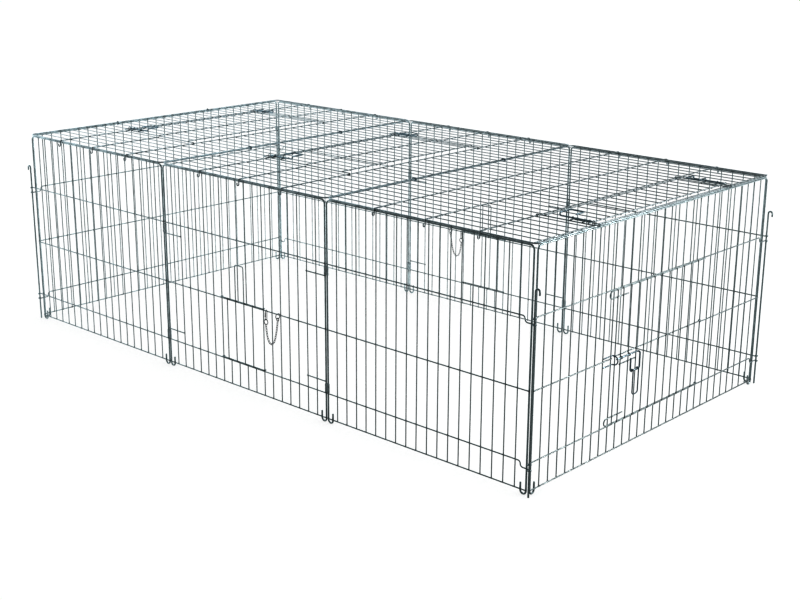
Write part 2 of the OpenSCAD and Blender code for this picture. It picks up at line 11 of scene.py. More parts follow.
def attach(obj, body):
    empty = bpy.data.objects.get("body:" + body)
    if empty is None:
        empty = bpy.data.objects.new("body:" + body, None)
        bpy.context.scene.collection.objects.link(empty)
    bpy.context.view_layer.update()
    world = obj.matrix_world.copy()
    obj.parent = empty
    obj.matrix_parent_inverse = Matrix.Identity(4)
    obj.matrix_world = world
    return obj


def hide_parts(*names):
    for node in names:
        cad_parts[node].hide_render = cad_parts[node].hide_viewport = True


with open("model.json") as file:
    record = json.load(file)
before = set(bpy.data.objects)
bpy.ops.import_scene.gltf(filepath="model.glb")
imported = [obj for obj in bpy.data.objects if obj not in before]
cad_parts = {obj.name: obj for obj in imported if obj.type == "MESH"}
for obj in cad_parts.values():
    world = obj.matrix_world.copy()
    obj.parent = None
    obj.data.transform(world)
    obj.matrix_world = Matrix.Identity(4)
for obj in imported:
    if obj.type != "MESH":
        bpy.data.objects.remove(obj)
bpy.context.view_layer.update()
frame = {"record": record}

# ---- sizes in millimetres, the same as in the part's source ----
FRAME_D, BAR_D, ROW_D = 4.5, 2.5, 3.0
COVER_FRAME_D, COVER_WIRE_D, CROSS_D = 4.0, 2.2, 3.0
SINK, OVERHANG, PITCH = 0.45, 1.3, 37.4
SIDE_GAPS, END_GAPS = 19, 30
WALL_TOP, WALL_CORNER_R = 652, 12
BOTTOM, LOWER, MIDDLE, UPPER = 14, 90, 281, 472
FOOT_W, FOOT_H = 18, 32
PANEL_GAP, CORNER_BACK, KINK_DROP = 8, 6.5, 16
SLEEVE_H, SLEEVE_WALL, STUB_DROP = 26, 1.1, 35
PINCH_X, PINCH_Y, PINCH_MIDDLE, SLEEVE_EDGE, SLEEVE_WAIST = 0.9, 1.45, 1.15, 0.35, 0.18
ROD_D, ROD_H, CROOK_W, CROOK_H = 4.5, 548, 13, 15
PLAY, ROD_PLAY, REST_GAP = 0.4, 0.8, 0.3
HATCH_FIRST, HATCH_GAPS, HATCH_SHIFT, HATCH_PULL_H, HATCH_PULL_R = 7, 5, 6, 112, 6
DOOR_JAMB, DOOR_GAPS, EDGE_INSET = 9, 12, 11
STOP_REACH, STOP_H, STOP_LEG = 12, 20, 76
BOLT_D, BOLT_DROP, STAPLE_D, BOLT_L, BOLT_BACK = 4, 8, 2, 100, 4
GRIP_W, GRIP_L, GRIP_OUT, GRIP_R = 44, 46, 8, 6
KEEPER_W, KEEPER_OUT, KEEPER_R, KEEPER_BEND = 25, 17, 12, 3.5
PULL_D, PULL_W, PULL_L, PULL_R = 3, 26, 68, 8
COVER_GAP, COVER_CORNER_R, CROSS_PITCH = 8, 15, 180
LUG_GAP, LUG_DROP, LUG_W, LUG_TAIL = 1, 18, 7, 70
FLAP_HALF, END_FLAP_HALF, FLAP_SIDE, FLAP_BACK, FLAP_FRONT, STOP_BACK = 8, 9, 5, 26, 9, 6
CLIP_D, CLIP_AT = 2.5, 5.5  # a clip lies CLIP_AT cover wires from the middle of the run
LINK_D, LINK_W, CHAIN_LINKS, CHAIN_BOW, CHAIN_LEAN = 1.2, 4.4, 21, 9, 2.5
RING_D, RING_R, SMALL_RING_R = 2, 8, 4.5
SNAP_D, SNAP_R, SNAP_L, GATE_D = 1.8, 3.2, 24, 3.2
CHAIN_ASIDE = 6.5  # gap between the hatch's guide bar and the snap hook's ring

ROW_OUT = (BAR_D + ROW_D) / 2 - SINK
SIDE_W, END_W = SIDE_GAPS * PITCH, END_GAPS * PITCH
RUN_L = 3 * SIDE_W + 2 * PANEL_GAP + 2 * CORNER_BACK
RUN_W = END_W + 2 * CORNER_BACK
EYE_R = (ROD_D + ROW_D) / 2 + ROD_PLAY
EYE_OUT = ROW_OUT + EYE_R
EYE_END = CORNER_BACK + EYE_OUT
GUIDE_R = BAR_D / 2 + PLAY + ROW_D / 2
LEAF_OUT = GUIDE_R + (ROW_D + BAR_D) / 2 - SINK
BOLT_OUT = LEAF_OUT + (BAR_D + BOLT_D) / 2 + PLAY
STAPLE_R = BOLT_D / 2 + PLAY + STAPLE_D / 2
SEAT = ROW_D + REST_GAP
COVER_Z = WALL_TOP + (FRAME_D + COVER_FRAME_D) / 2 + REST_GAP
CROSS_Z = COVER_Z + (COVER_WIRE_D + CROSS_D) / 2 - SINK
HINGE_R = CROSS_D + PLAY
FLAP_Z = CROSS_Z + HINGE_R
FLAP_CROSS_Z = FLAP_Z + (COVER_WIRE_D + CROSS_D) / 2 - SINK
COVER_BOLT_Z = FLAP_CROSS_Z + (CROSS_D + BOLT_D) / 2 + PLAY
COVER_PITCH = RUN_W / END_GAPS
SECTION_L = (RUN_L - 2 * COVER_GAP) / 3
SECTION_X = [-RUN_L / 2 + i * (SECTION_L + COVER_GAP) for i in range(3)]
BOLT_Z = MIDDLE + SEAT - BOLT_DROP
STAPLE_X = [PITCH - EDGE_INSET - BOLT_BACK, 2 * PITCH - EDGE_INSET - BOLT_BACK]
FLAP_HINGE, FLAP_REACH = 3 * CROSS_PITCH, 2 * CROSS_PITCH
END_STOP = SECTION_L - STOP_BACK
END_REACH = END_STOP - FLAP_HINGE

METRES = 0.001
U_BEND = 0.999  # share of its half width that a U-bend's radius takes, so that its two bends don't meet
STOUT_D = 4.0  # wires this thick get a brighter base colour, a painted highlight
LOOSE = 0.45  # how far a bar's end strays from its true place, and how far the bar bows besides
rng = np.random.default_rng(11)


# ---- places ----
def move(x=0.0, y=0.0, z=0.0):
    m = np.eye(4)
    m[:3, 3] = x, y, z
    return m


def turn(axis, degrees):
    """Right-handed turn about the axis numbered 0, 1 or 2."""
    c, s = np.cos(np.radians(degrees)), np.sin(np.radians(degrees))
    m = np.eye(4)
    i, j = (axis + 1) % 3, (axis + 2) % 3
    m[i, i], m[i, j], m[j, i], m[j, j] = c, -s, s, c
    return m


def flip(axis):
    m = np.eye(4)
    m[axis, axis] = -1
    return m


def carried(m, points):
    return np.asarray(points, float) @ m[:3, :3].T + m[:3, 3]


# ---- centre lines ----
def unit(v):
    return v / np.linalg.norm(v)


def unit_rows(v):
    return v / np.linalg.norm(v, axis=1)[:, None]


def arc(centre, u, v, r, start, end, step=15):
    """Points centre + r (cos t u + sin t v), with t going from start to end in degrees."""
    t = np.radians(np.linspace(start, end, max(3, int(abs(end - start) / step) + 1)))[:, None]
    centre, u, v = (np.asarray(q, float) for q in (centre, u, v))
    return centre + r * (np.cos(t) * u + np.sin(t) * v)


def joined(*lines):
    """The lines one after another, without points that fall on the one before."""
    line = np.vstack(lines)
    keep = np.r_[True, np.linalg.norm(np.diff(line, axis=0), axis=1) > 1e-4]
    return line[keep]


def bent(corners, radii=0.0, closed=False):
    """Centre line through corners. At a corner of turn angle a it follows a circle of radius r that
    touches both sides, so it leaves each side r tan(a / 2) from the corner. Gives the line and its
    straight parts."""
    corners = np.asarray(corners, float)
    if closed:
        corners = np.vstack([corners, corners[:2]])
    inner = corners[1:-1]
    radii = np.broadcast_to(np.asarray(radii, float), (len(inner),))
    pieces, straights, start = [], [], corners[0]
    if not closed:
        pieces.append(corners[:1])
    for i, r in enumerate(radii):
        u, w = unit(inner[i] - corners[i]), unit(corners[i + 2] - inner[i])
        a = np.arccos(np.clip(u @ w, -1, 1))
        back = r * np.tan(a / 2)
        p, side = inner[i] - u * back, unit(w - (w @ u) * u)
        straights.append((start, p))
        pieces.append(arc(p + side * r, -side, u, r, 0, np.degrees(a)))
        start = inner[i] + w * back
    if closed:
        straights = straights[1:] + [(start, pieces[0][0])]
    else:
        pieces.append(corners[-1:])
        straights.append((start, corners[-1]))
    return joined(*pieces), [s for s in straights if np.linalg.norm(s[1] - s[0]) > 1]


def stadium(length, r):
    """Closed line in the XY plane: two half circles of radius r, their centres a length apart along X."""
    x, y = [1, 0, 0], [0, 1, 0]
    return np.vstack([
        arc([length / 2, 0, 0], x, y, r, -90, 90, 20),
        arc([-length / 2, 0, 0], x, y, r, 90, 270, 20),
    ])


# ---- surfaces ----
def swept_grid(rings, closed_along):
    """Quads between neighbouring rings of a grid of points that is closed the short way round."""
    m, n = rings.shape[:2]
    i = np.arange(m if closed_along else m - 1)[:, None]
    j = np.arange(n)[None, :]
    a, b = i * n, ((i + 1) % m) * n
    after = (j + 1) % n
    return np.stack(np.broadcast_arrays(a + j, b + j, b + after, a + after), -1).reshape(-1, 4)


def turning_frames(line, closed):
    """Tangents and side directions along a line; each side is the one before, turned as little as
    it can be."""
    ahead, behind = np.roll(line, -1, 0), np.roll(line, 1, 0)
    tangent = ahead - behind
    if not closed:
        tangent[0], tangent[-1] = line[1] - line[0], line[-1] - line[-2]
    tangent /= np.linalg.norm(tangent, axis=1)[:, None]
    side = np.empty_like(tangent)
    first = np.eye(3)[np.argmin(np.abs(tangent[0]))]
    side[0] = unit(first - (first @ tangent[0]) * tangent[0])
    for k in range(1, len(line)):
        s = side[k - 1] - (side[k - 1] @ tangent[k]) * tangent[k]
        side[k] = unit(s)
    return tangent, side


# Rings of points lie at most WIRE_STEP apart, at each bend and beside each weld, and none closer
# than LEAST_STEP. At a weld a wire's radius grows by the share SWELL, fading over SWELL_L.
WIRE_STEP, BESIDE_WELD, LEAST_STEP = 110, (-7.0, -2.2, 2.2, 7.0), 0.35
SWELL, SWELL_L = 0.1, 2.6
# A weld lies on the wires whose surface is within WELD_NEAR of it, its burnt skin fades over BURN_L,
# and NUGGET is how much smaller or larger than its usual size it is.
WELD_NEAR, BURN_L, NUGGET = 0.9, 4.5, (0.86, 1.12)


def tube(line, d, sides, closed, marks):
    """Round wire: p + r (cos f u + sin f v) round each point p of the line. It swells a little at
    its welds, whose places along it are marks, and its two sheared ends are domed."""
    seg = np.linalg.norm(np.diff(line, axis=0), axis=1)
    along = np.r_[0, np.cumsum(seg)]
    total = along[-1]
    if not closed:
        spots = [along, np.linspace(0, total, 2 + int(total / WIRE_STEP))]
        spots += [marks + k for k in BESIDE_WELD] if len(marks) else []
        stations = np.unique(np.round(np.clip(np.concatenate(spots), 0, total), 3))
        stations = stations[np.r_[True, np.diff(stations) > LEAST_STEP]]
        stations[-1] = total
        line = np.stack([np.interp(stations, along, line[:, k]) for k in range(3)], 1)
        along = stations
    tangent, side = turning_frames(line, closed)
    swell = np.zeros(len(line))
    if len(marks) and not closed:
        swell = np.exp(-((np.abs(along[:, None] - marks[None, :]).min(1) / SWELL_L) ** 2))
    radius = d / 2 * (1 + SWELL * swell)
    if not closed:
        dome = np.array([0.0, 0.16, 0.5]) * d / 2
        shrink = np.array([0.62, 0.9, 1.0])
        head = line[0] + tangent[0] * dome[:, None]
        tail = line[-1] - tangent[-1] * dome[::-1, None]
        line = np.vstack([head, line[1:-1], tail])
        radius = np.r_[shrink * d / 2, radius[1:-1], shrink[::-1] * d / 2]
        tangent = np.vstack([tangent[[0] * 3], tangent[1:-1], tangent[[-1] * 3]])
        side = np.vstack([side[[0] * 3], side[1:-1], side[[-1] * 3]])
        along = np.r_[dome, along[1:-1], total - dome[::-1]]
        order = np.argsort(along, kind="stable")
        line, radius, tangent, side, along = (q[order] for q in (line, radius, tangent, side, along))
    f = np.linspace(0, 2 * np.pi, sides, endpoint=False)
    other = np.cross(tangent, side)
    ring = np.cos(f)[None, :, None] * side[:, None, :]
    ring = ring + np.sin(f)[None, :, None] * other[:, None, :]
    rings = line[:, None, :] + radius[:, None, None] * ring
    quads = swept_grid(rings, closed)
    m = len(line)
    points = rings.reshape(-1, 3)
    around = np.broadcast_to(np.arange(sides) / sides, (m, sides))
    length = np.broadcast_to(along[:, None], (m, sides))
    uv = np.stack([length.ravel() * METRES, around.ravel()], 1)
    tris = np.empty((0, 3), int)
    if not closed:
        j = np.arange(sides)
        first, last = m * sides, m * sides + 1
        points = np.vstack([points, line[0], line[-1]])
        uv = np.vstack([uv, [0, 0.5], [total * METRES, 0.5]])
        tris = np.vstack([
            np.stack([np.full(sides, first), j, (j + 1) % sides], 1)[:, [0, 2, 1]],
            (m - 1) * sides + np.stack([np.full(sides, last - (m - 1) * sides), j, (j + 1) % sides], 1),
        ])
    return points, quads[:, ::-1], tris, uv


def flat_uv(points):
    return np.stack([points[:, 0] + points[:, 1], points[:, 2]], 1) * METRES


def nuggets(centres, axes, sizes):
    """Squashed balls, one at each weld: centre + a cos f cos g + b sin f cos g + c sin g, with a, b
    and c the three half sizes along the weld's own axes, and the waist drawn in a little where the
    wires cross."""
    sides, rows = 10, 5
    f = np.linspace(0, 2 * np.pi, sides, endpoint=False)
    g = np.linspace(-np.pi / 2, np.pi / 2, rows + 2)[1:-1]
    gf, ff = np.meshgrid(g, f, indexing="ij")
    waist = 1 + 0.12 * np.cos(4 * ff + np.pi)
    ball = np.stack([np.cos(ff) * np.cos(gf) * waist, np.sin(ff) * np.cos(gf) * waist, np.sin(gf)], -1)
    ball = np.vstack([ball.reshape(-1, 3), [0, 0, -1], [0, 0, 1]])
    points = centres[:, None, :] + np.einsum("pk,nk,nkx->npx", ball, sizes, axes)
    grid = swept_grid(np.zeros((rows, sides, 3)), False)
    j = np.arange(sides)
    south, north, top = rows * sides, rows * sides + 1, (rows - 1) * sides
    caps = np.vstack([
        np.stack([np.full(sides, south), (j + 1) % sides, j], 1),
        np.stack([np.full(sides, north), top + j, top + (j + 1) % sides], 1),
    ])
    step = len(ball) * np.arange(len(centres))[:, None, None]
    quads, tris = grid[:, ::-1][None] + step, caps[None] + step
    return points.reshape(-1, 3), quads.reshape(-1, 4), tris.reshape(-1, 3)


def crossings(straights):
    """Every place where two straight wires of one piece touch at an angle: the closest points of the
    two lines, kept where they lie on both wires and nearer than the wires' radii together."""
    start = np.array([s[0] for s in straights])
    end = np.array([s[1] for s in straights])
    d = np.array([s[2] for s in straights])
    run = np.array([s[3] for s in straights])
    length = np.linalg.norm(end - start, axis=1)
    way = (end - start) / length[:, None]
    i, j = np.triu_indices(len(d), 1)
    dot = np.einsum("ij,ij->i", way[i], way[j])
    apart = (np.abs(dot) < 0.5) & (run[i] != run[j])
    i, j, dot = i[apart], j[apart], dot[apart]
    w = start[i] - start[j]
    wi, wj = np.einsum("ij,ij->i", w, way[i]), np.einsum("ij,ij->i", w, way[j])
    s = (dot * wj - wi) / (1 - dot**2)
    t = (wj - dot * wi) / (1 - dot**2)
    p, q = start[i] + s[:, None] * way[i], start[j] + t[:, None] * way[j]
    gap = np.linalg.norm(q - p, axis=1)
    reach = (d[i] + d[j]) / 2
    near = (gap < reach - 0.05) & (s > -d[j] / 2) & (s < length[i] + d[j] / 2)
    near &= (t > -d[i] / 2) & (t < length[j] + d[i] / 2)
    found = []
    for k in np.flatnonzero(near):
        a, b = way[i[k]], unit(way[j[k]] - dot[k] * way[i[k]])
        if gap[k] > 0.3:
            n = (q[k] - p[k]) / gap[k]
            centre = p[k] + n * (d[i[k]] / 2 - (reach[k] - gap[k]) / 2)
            size = [d[j[k]] * 0.6 + 0.55, d[i[k]] * 0.6 + 0.55, reach[k] * 0.3]
        else:  # one wire ends on the other
            first_ends = min(s[k], length[i[k]] - s[k]) < min(t[k], length[j[k]] - t[k])
            leg, main = (i[k], j[k]) if first_ends else (j[k], i[k])
            at_start = (s if leg == i[k] else t)[k] < length[leg] / 2
            n = way[leg] if at_start else -way[leg]
            a, b = way[main], np.cross(n, way[main])
            centre = (p[k] + q[k]) / 2 + n * d[main] * 0.42
            size = [d[leg] * 0.5 + 0.7, d[leg] * 0.5 + 0.35, 1.0]
        found.append((centre, [a, b, n], size))
    return found


class Wirework:
    """The wires of one piece. They are kept as centre lines, in millimetres, until they become one mesh."""

    def __init__(self, place):
        self.place = place
        self.runs, self.straights, self.extra = [], [], []

    def run(self, line, d, straights=(), closed=False, place=None):
        m = self.place if place is None else self.place @ place
        for a, b in straights:
            self.straights.append((*carried(m, [a, b]), d, len(self.runs)))
        self.runs.append((carried(m, line), d, closed))

    def wire(self, corners, d, radii=0.0, place=None, closed=False):
        line, straights = bent(corners, radii, closed)
        self.run(line, d, straights, closed, place)

    def loose_wire(self, a, b, d, across):
        """Straight wire whose ends stray a little along the direction across, and which bows by as much."""
        stray = rng.uniform(-LOOSE, LOOSE, 3)
        t = np.linspace(0, 1, 6)[:, None]
        shift = stray[0] * (1 - t) + stray[1] * t + stray[2] * np.sin(np.pi * t)
        a, b, across = (np.asarray(q, float) for q in (a, b, across))
        line = a * (1 - t) + b * t + shift * across
        self.run(line, d, [(line[0], line[-1])])

    def surfaces(self, sides):
        """All points, quads, triangles, places along each wire, nearness to a weld and whether a wire
        is stout."""
        found = crossings(self.straights) if len(self.straights) > 1 else []
        centres = np.array([c for c, _, _ in found]).reshape(-1, 3)
        parts = []
        for line, d, closed in self.runs:
            marks = np.empty(0)
            if len(centres) and not closed:
                seg = np.diff(line, axis=0)
                size = np.maximum((seg**2).sum(1), 1e-9)
                t = np.clip(((centres[:, None, :] - line[None, :-1]) * seg[None]).sum(2) / size, 0, 1)
                gap = np.linalg.norm(centres[:, None, :] - line[None, :-1] - t[..., None] * seg[None], axis=2)
                k = gap.argmin(1)
                rows = np.arange(len(centres))
                place = np.r_[0, np.cumsum(np.sqrt(size))][k] + t[rows, k] * np.sqrt(size)[k]
                marks = place[gap[rows, k] < d / 2 + WELD_NEAR]
            parts.append((*tube(line, d, sides, closed, marks), d >= STOUT_D))
        layers = [[], [], [], [], [], []]

        def add(p, quads, tris, uv, weld, stout):
            count = sum(map(len, layers[0]))
            new = (p, quads + count, tris + count, uv, weld, np.full(len(p), float(stout)))
            for layer, values in zip(layers, new):
                layer.append(values)

        for p, quads, tris, uv, thick in parts:
            near = np.zeros(len(p))
            if len(centres):
                gap = np.linalg.norm(p[:, None] - centres[None], axis=2).min(1)
                near = np.exp(-((gap / BURN_L) ** 2))
            add(p, quads, tris, uv, near, thick)
        if len(centres):
            sizes = np.array([s for _, _, s in found]) * rng.uniform(*NUGGET, (len(found), 3))
            p, quads, tris = nuggets(centres, np.array([a for _, a, _ in found]), sizes)
            add(p, quads, tris, flat_uv(p), np.ones(len(p)), False)
        for p, quads in self.extra:
            add(p, quads, np.empty((0, 3), int), flat_uv(p), np.zeros(len(p)), False)
        return [np.concatenate(v) for v in layers]


def mesh_object(name, points, quads, tris, uv, weld, stout):
    """One object at the origin, in metres, with the wire's own coordinates as its UV map."""
    mesh = bpy.data.meshes.new(name)
    corners = np.concatenate([quads.ravel(), tris.ravel()]).astype(np.int32)
    starts = np.concatenate([4 * np.arange(len(quads)), 4 * len(quads) + 3 * np.arange(len(tris))])
    mesh.vertices.add(len(points))
    mesh.vertices.foreach_set("co", (points * METRES).astype(np.float32).ravel())
    mesh.loops.add(len(corners))
    mesh.loops.foreach_set("vertex_index", corners)
    mesh.polygons.add(len(starts))
    mesh.polygons.foreach_set("loop_start", starts.astype(np.int32))
    mesh.update(calc_edges=True)
    mesh.polygons.foreach_set("use_smooth", np.ones(len(starts), bool))
    spot = uv[corners]
    quad_v = spot[: 4 * len(quads), 1].reshape(-1, 4)
    quad_v += (quad_v.max(1) - quad_v.min(1) > 0.5)[:, None] * (quad_v < 0.25)
    spot[: 4 * len(quads), 1] = quad_v.ravel()
    mesh.uv_layers.new(name="wire").data.foreach_set("uv", spot.astype(np.float32).ravel())
    for attribute, values in (("weld", weld), ("stout", stout)):
        layer = mesh.attributes.new(attribute, "FLOAT", "POINT")
        layer.data.foreach_set("value", values.astype(np.float32))
    mesh.validate()
    made = bpy.data.objects.new(name, mesh)
    bpy.context.scene.collection.objects.link(made)
    return made


# ---- walls, drawn from post to post along X, with the outside at -Y ----
def wall_frame(work, w):
    z = FRAME_D / 2
    work.wire(
        [[FOOT_W, 0, FOOT_H], [FOOT_W, 0, z], [0, 0, z], [0, 0, WALL_TOP],
         [w, 0, WALL_TOP], [w, 0, z], [w - FOOT_W, 0, z], [w - FOOT_W, 0, FOOT_H]],
        FRAME_D, [FOOT_W / 2, FOOT_W / 2, WALL_CORNER_R, WALL_CORNER_R, FOOT_W / 2, FOOT_W / 2])


def upright(work, x, z0, z1, y=0.0, loose=True):
    if loose:
        work.loose_wire([x, y, z0], [x, y, z1], BAR_D, [1, 0.25, 0])
    else:
        work.wire([[x, y, z0], [x, y, z1]], BAR_D)


def level(work, x0, x1, z, y=-ROW_OUT):
    work.wire([[x0, y, z], [x1, y, z]], ROW_D)


def eyed_level(work, x0, x1, z, w, left, right):
    """Level wire with an open eye round a corner rod at one end or both. Before its right-hand eye it steps
    down on two quarter bends."""
    x, y = [1, 0, 0], [0, 1, 0]
    pieces, straights = [], []
    if left:
        pieces.append(arc([-EYE_END, -EYE_OUT, z], x, y, EYE_R, 345, 90))
        x0 = -EYE_END
    if right:
        low, kink = z - KINK_DROP, w - PITCH / 2
        line, straights = bent([[x0, -ROW_OUT, z], [kink, -ROW_OUT, z], [kink, -ROW_OUT, low],
                                [w + EYE_END, -ROW_OUT, low]], KINK_DROP / 2)
        pieces += [line, arc([w + EYE_END, -EYE_OUT, low], x, y, EYE_R, 90, -165)]
    else:
        line = np.array([[x0, -ROW_OUT, z], [x1, -ROW_OUT, z]], float)
        straights = [(line[0], line[1])]
        pieces.append(line)
    work.run(joined(*pieces), ROW_D, straights)


def side_panel(work, left=False, right=False, hatch=False):
    w, last = SIDE_W, HATCH_FIRST + HATCH_GAPS
    wall_frame(work, w)
    for i in range(1, SIDE_GAPS):
        guide = hatch and i in (HATCH_FIRST, last)
        if hatch and HATCH_FIRST < i < last:
            upright(work, i * PITCH, BOTTOM - OVERHANG, LOWER + OVERHANG)
            upright(work, i * PITCH, MIDDLE - OVERHANG, WALL_TOP)
        else:
            upright(work, i * PITCH, BOTTOM - OVERHANG, WALL_TOP, loose=not guide)
    for z in (BOTTOM, MIDDLE):
        level(work, -OVERHANG, w + OVERHANG, z)
    for z in (LOWER, UPPER):
        eyed_level(work, -OVERHANG, w + OVERHANG, z, w, left, right)
    if not left and not right:
        for z in (LOWER + STUB_DROP, UPPER - STUB_DROP):
            level(work, -OVERHANG, 2 * PITCH + OVERHANG, z)
            level(work, w - 2 * PITCH - OVERHANG, w + OVERHANG, z)


def end_panel(work, door):
    w, hinge = END_W, DOOR_JAMB + DOOR_GAPS
    wall_frame(work, w)
    for i in range(1, END_GAPS):
        if door and DOOR_JAMB < i < hinge:
            upright(work, i * PITCH, BOTTOM - OVERHANG, LOWER + OVERHANG)
            upright(work, i * PITCH, UPPER - OVERHANG, WALL_TOP)
        else:
            jamb = door and i in (DOOR_JAMB, hinge)
            upright(work, i * PITCH, BOTTOM - OVERHANG, WALL_TOP, loose=not jamb)
    level(work, -OVERHANG, w + OVERHANG, BOTTOM)
    if door:
        level(work, -OVERHANG, DOOR_JAMB * PITCH + OVERHANG, MIDDLE)
        level(work, hinge * PITCH - OVERHANG, w + OVERHANG, MIDDLE)
    else:
        level(work, -OVERHANG, w + OVERHANG, MIDDLE)
    for z in (LOWER, UPPER):
        eyed_level(work, 0, 0, z, w, True, True)


def sleeve_pair(work):
    """Strip of sheet wrapped round two posts: its middle line follows a circle round each post and pinches
    in between them, and a section with rounded edges is carried along that line."""
    r, half = FRAME_D / 2 + PLAY + SLEEVE_WALL / 2, PANEL_GAP / 2
    x, y = [1, 0, 0], [0, 1, 0]
    line = np.vstack([
        arc([-half, 0, 0], x, y, r, 45, 315, 12),
        [[-PINCH_X, -PINCH_Y, 0], [0, -PINCH_MIDDLE, 0], [PINCH_X, -PINCH_Y, 0]],
        arc([half, 0, 0], x, y, r, 225, 495, 12),
        [[PINCH_X, PINCH_Y, 0], [0, PINCH_MIDDLE, 0], [-PINCH_X, PINCH_Y, 0]]])
    tangent = unit_rows(np.roll(line, -1, 0) - np.roll(line, 1, 0))
    outward = np.stack([tangent[:, 1], -tangent[:, 0], np.zeros(len(line))], 1)
    t, c = SLEEVE_WALL / 2, SLEEVE_EDGE
    for z in (LOWER + ROW_D / 2 + REST_GAP, UPPER - STUB_DROP + ROW_D / 2 + REST_GAP):
        up = np.array([0, c, c * 3, SLEEVE_H / 2, SLEEVE_H - 3 * c, SLEEVE_H - c, SLEEVE_H])
        out = np.array([t - c, t, t, t - SLEEVE_WAIST, t, t, t - c])
        section = np.vstack([np.stack([out, up], 1), np.stack([-out[::-1], up[::-1]], 1)])
        rings = (line[:, None] + outward[:, None] * section[None, :, :1]
                 + np.array([0, 0, 1]) * (section[None, :, 1:] + z))
        rings = rings + np.array([SIDE_W + PANEL_GAP / 2, 0, 0])
        flipped = np.linalg.det(work.place[:3, :3]) < 0
        quads = swept_grid(rings, True)
        work.extra.append((carried(work.place, rings.reshape(-1, 3)), quads[:, ::-1] if flipped else quads))


def corner_rod(work):
    tip = ROD_H - CROOK_H
    work.wire([[0, 0, 0], [0, 0, ROD_H], [CROOK_W, 0, ROD_H], [CROOK_W, 0, tip]], ROD_D, CROOK_W / 2)


# ---- leaves: hatches and door ----
def leaf_bar(work, x, z0, z1, loose=True):
    upright(work, x, z0 - OVERHANG, z1 + OVERHANG, -LEAF_OUT, loose)


def hatch(work):
    w, low, high = HATCH_GAPS * PITCH, LOWER + SEAT, MIDDLE + SEAT
    mid = HATCH_GAPS // 2
    x, y = [1, 0, 0], [0, 1, 0]
    for z in (low, high):
        level_line = np.array([[0, -GUIDE_R, z], [w, -GUIDE_R, z]], float)
        line = joined(arc([0, 0, z], x, y, GUIDE_R, -345, -90), level_line,
                      arc([w, 0, z], x, y, GUIDE_R, -90, 165))
        work.run(line, ROW_D, [tuple(level_line)])
    for i in range(1, HATCH_GAPS):
        if i not in (mid, mid + 1):
            leaf_bar(work, i * PITCH - HATCH_SHIFT, low, high)
    a, b = mid * PITCH - HATCH_SHIFT, (mid + 1) * PITCH - HATCH_SHIFT
    top = high + HATCH_PULL_H
    work.wire([[a, -LEAF_OUT, low - OVERHANG], [a, -LEAF_OUT, top], [b, -LEAF_OUT, top],
               [b, -LEAF_OUT, low - OVERHANG]], BAR_D, HATCH_PULL_R)


def staple(work, h, place):
    r = STAPLE_R
    work.wire([[-r, 0, -h], [-r, 0, r], [r, 0, r], [r, 0, -h]], STAPLE_D, r * U_BEND, place)


def door(work):
    low, mid, high = LOWER + SEAT, MIDDLE + SEAT, UPPER - SEAT
    jamb = DOOR_JAMB * PITCH
    hinge, edge = jamb + DOOR_GAPS * PITCH, jamb + EDGE_INSET
    tip = jamb - STOP_REACH - STOP_H / 2
    x, y = [1, 0, 0], [0, 1, 0]
    for z, s in ((low, -1), (high, 1)):
        back = z - s * STOP_H
        line, straights = bent([[hinge, -GUIDE_R, z], [tip, -GUIDE_R, z], [tip, -GUIDE_R, back],
                                [jamb - STOP_REACH + STOP_LEG, -GUIDE_R, back]], STOP_H / 2 * U_BEND)
        work.run(joined(arc([hinge, 0, z], x, y, GUIDE_R, 165, -90), line), ROW_D, straights)
    line = np.array([[hinge, -GUIDE_R, mid], [edge - OVERHANG, -GUIDE_R, mid]], float)
    work.run(joined(arc([hinge, 0, mid], x, y, GUIDE_R, 165, -90), line), ROW_D, [tuple(line)])
    for i in range(DOOR_GAPS):
        leaf_bar(work, edge if i == 0 else jamb + i * PITCH, low, high, loose=i > 2)
    level(work, jamb + PITCH - OVERHANG, jamb + 3 * PITCH + OVERHANG, BOLT_Z - STOP_H, -GUIDE_R)
    for i in (1, 2):
        place = move(jamb + i * PITCH, -BOLT_OUT, BOLT_Z) @ turn(0, 90) @ turn(2, 90)
        staple(work, BOLT_OUT - LEAF_OUT, place)


def keeper(work):
    """Wire loop across two bars of the end wall, bent out to a hoop beside the jamb."""
    x0, x1 = (DOOR_JAMB - 1) * PITCH - OVERHANG, DOOR_JAMB * PITCH + EDGE_INSET / 2
    low, high, y = BOLT_Z - KEEPER_W / 2, BOLT_Z + KEEPER_W / 2, -ROW_OUT - KEEPER_OUT
    work.wire([[x0, -ROW_OUT, low], [x1, -ROW_OUT, low], [x1, y, low], [x1, y, high],
               [x1, -ROW_OUT, high], [x0, -ROW_OUT, high]],
              ROW_D, [KEEPER_BEND, KEEPER_R, KEEPER_R, KEEPER_BEND])


def bolt(work, side):
    """Bolt with its tip at the origin: it runs back along X, steps out and bends round into a grip."""
    back, y = GRIP_W - BOLT_L, side * GRIP_L
    work.wire([[0, 0, 0], [-BOLT_L, 0, 0], [-BOLT_L, 0, GRIP_OUT], [-BOLT_L, y, GRIP_OUT],
               [back, y, GRIP_OUT], [back, side * BOLT_D * 2, GRIP_OUT]],
              BOLT_D, [GRIP_OUT / 2 * U_BEND, GRIP_OUT / 2 * U_BEND, GRIP_R, GRIP_R])


def hanging_pull(work):
    r, low = (BOLT_D + PULL_D) / 2 + PLAY, GRIP_L + PULL_L
    half = PULL_W / 2
    place = move(GRIP_W / 2 - BOLT_L, 0, GRIP_OUT)
    y, z = [0, 1, 0], [0, 0, 1]
    corners = [[-half, GRIP_L, r], [-half, low, r], [half, low, r], [half, GRIP_L, r]]
    line, straights = bent(corners, PULL_R)
    line = joined(arc([-half, GRIP_L, 0], y, z, r, 345, 90), line, arc([half, GRIP_L, 0], y, z, r, 90, 345))
    work.run(line, PULL_D, straights, place=place)


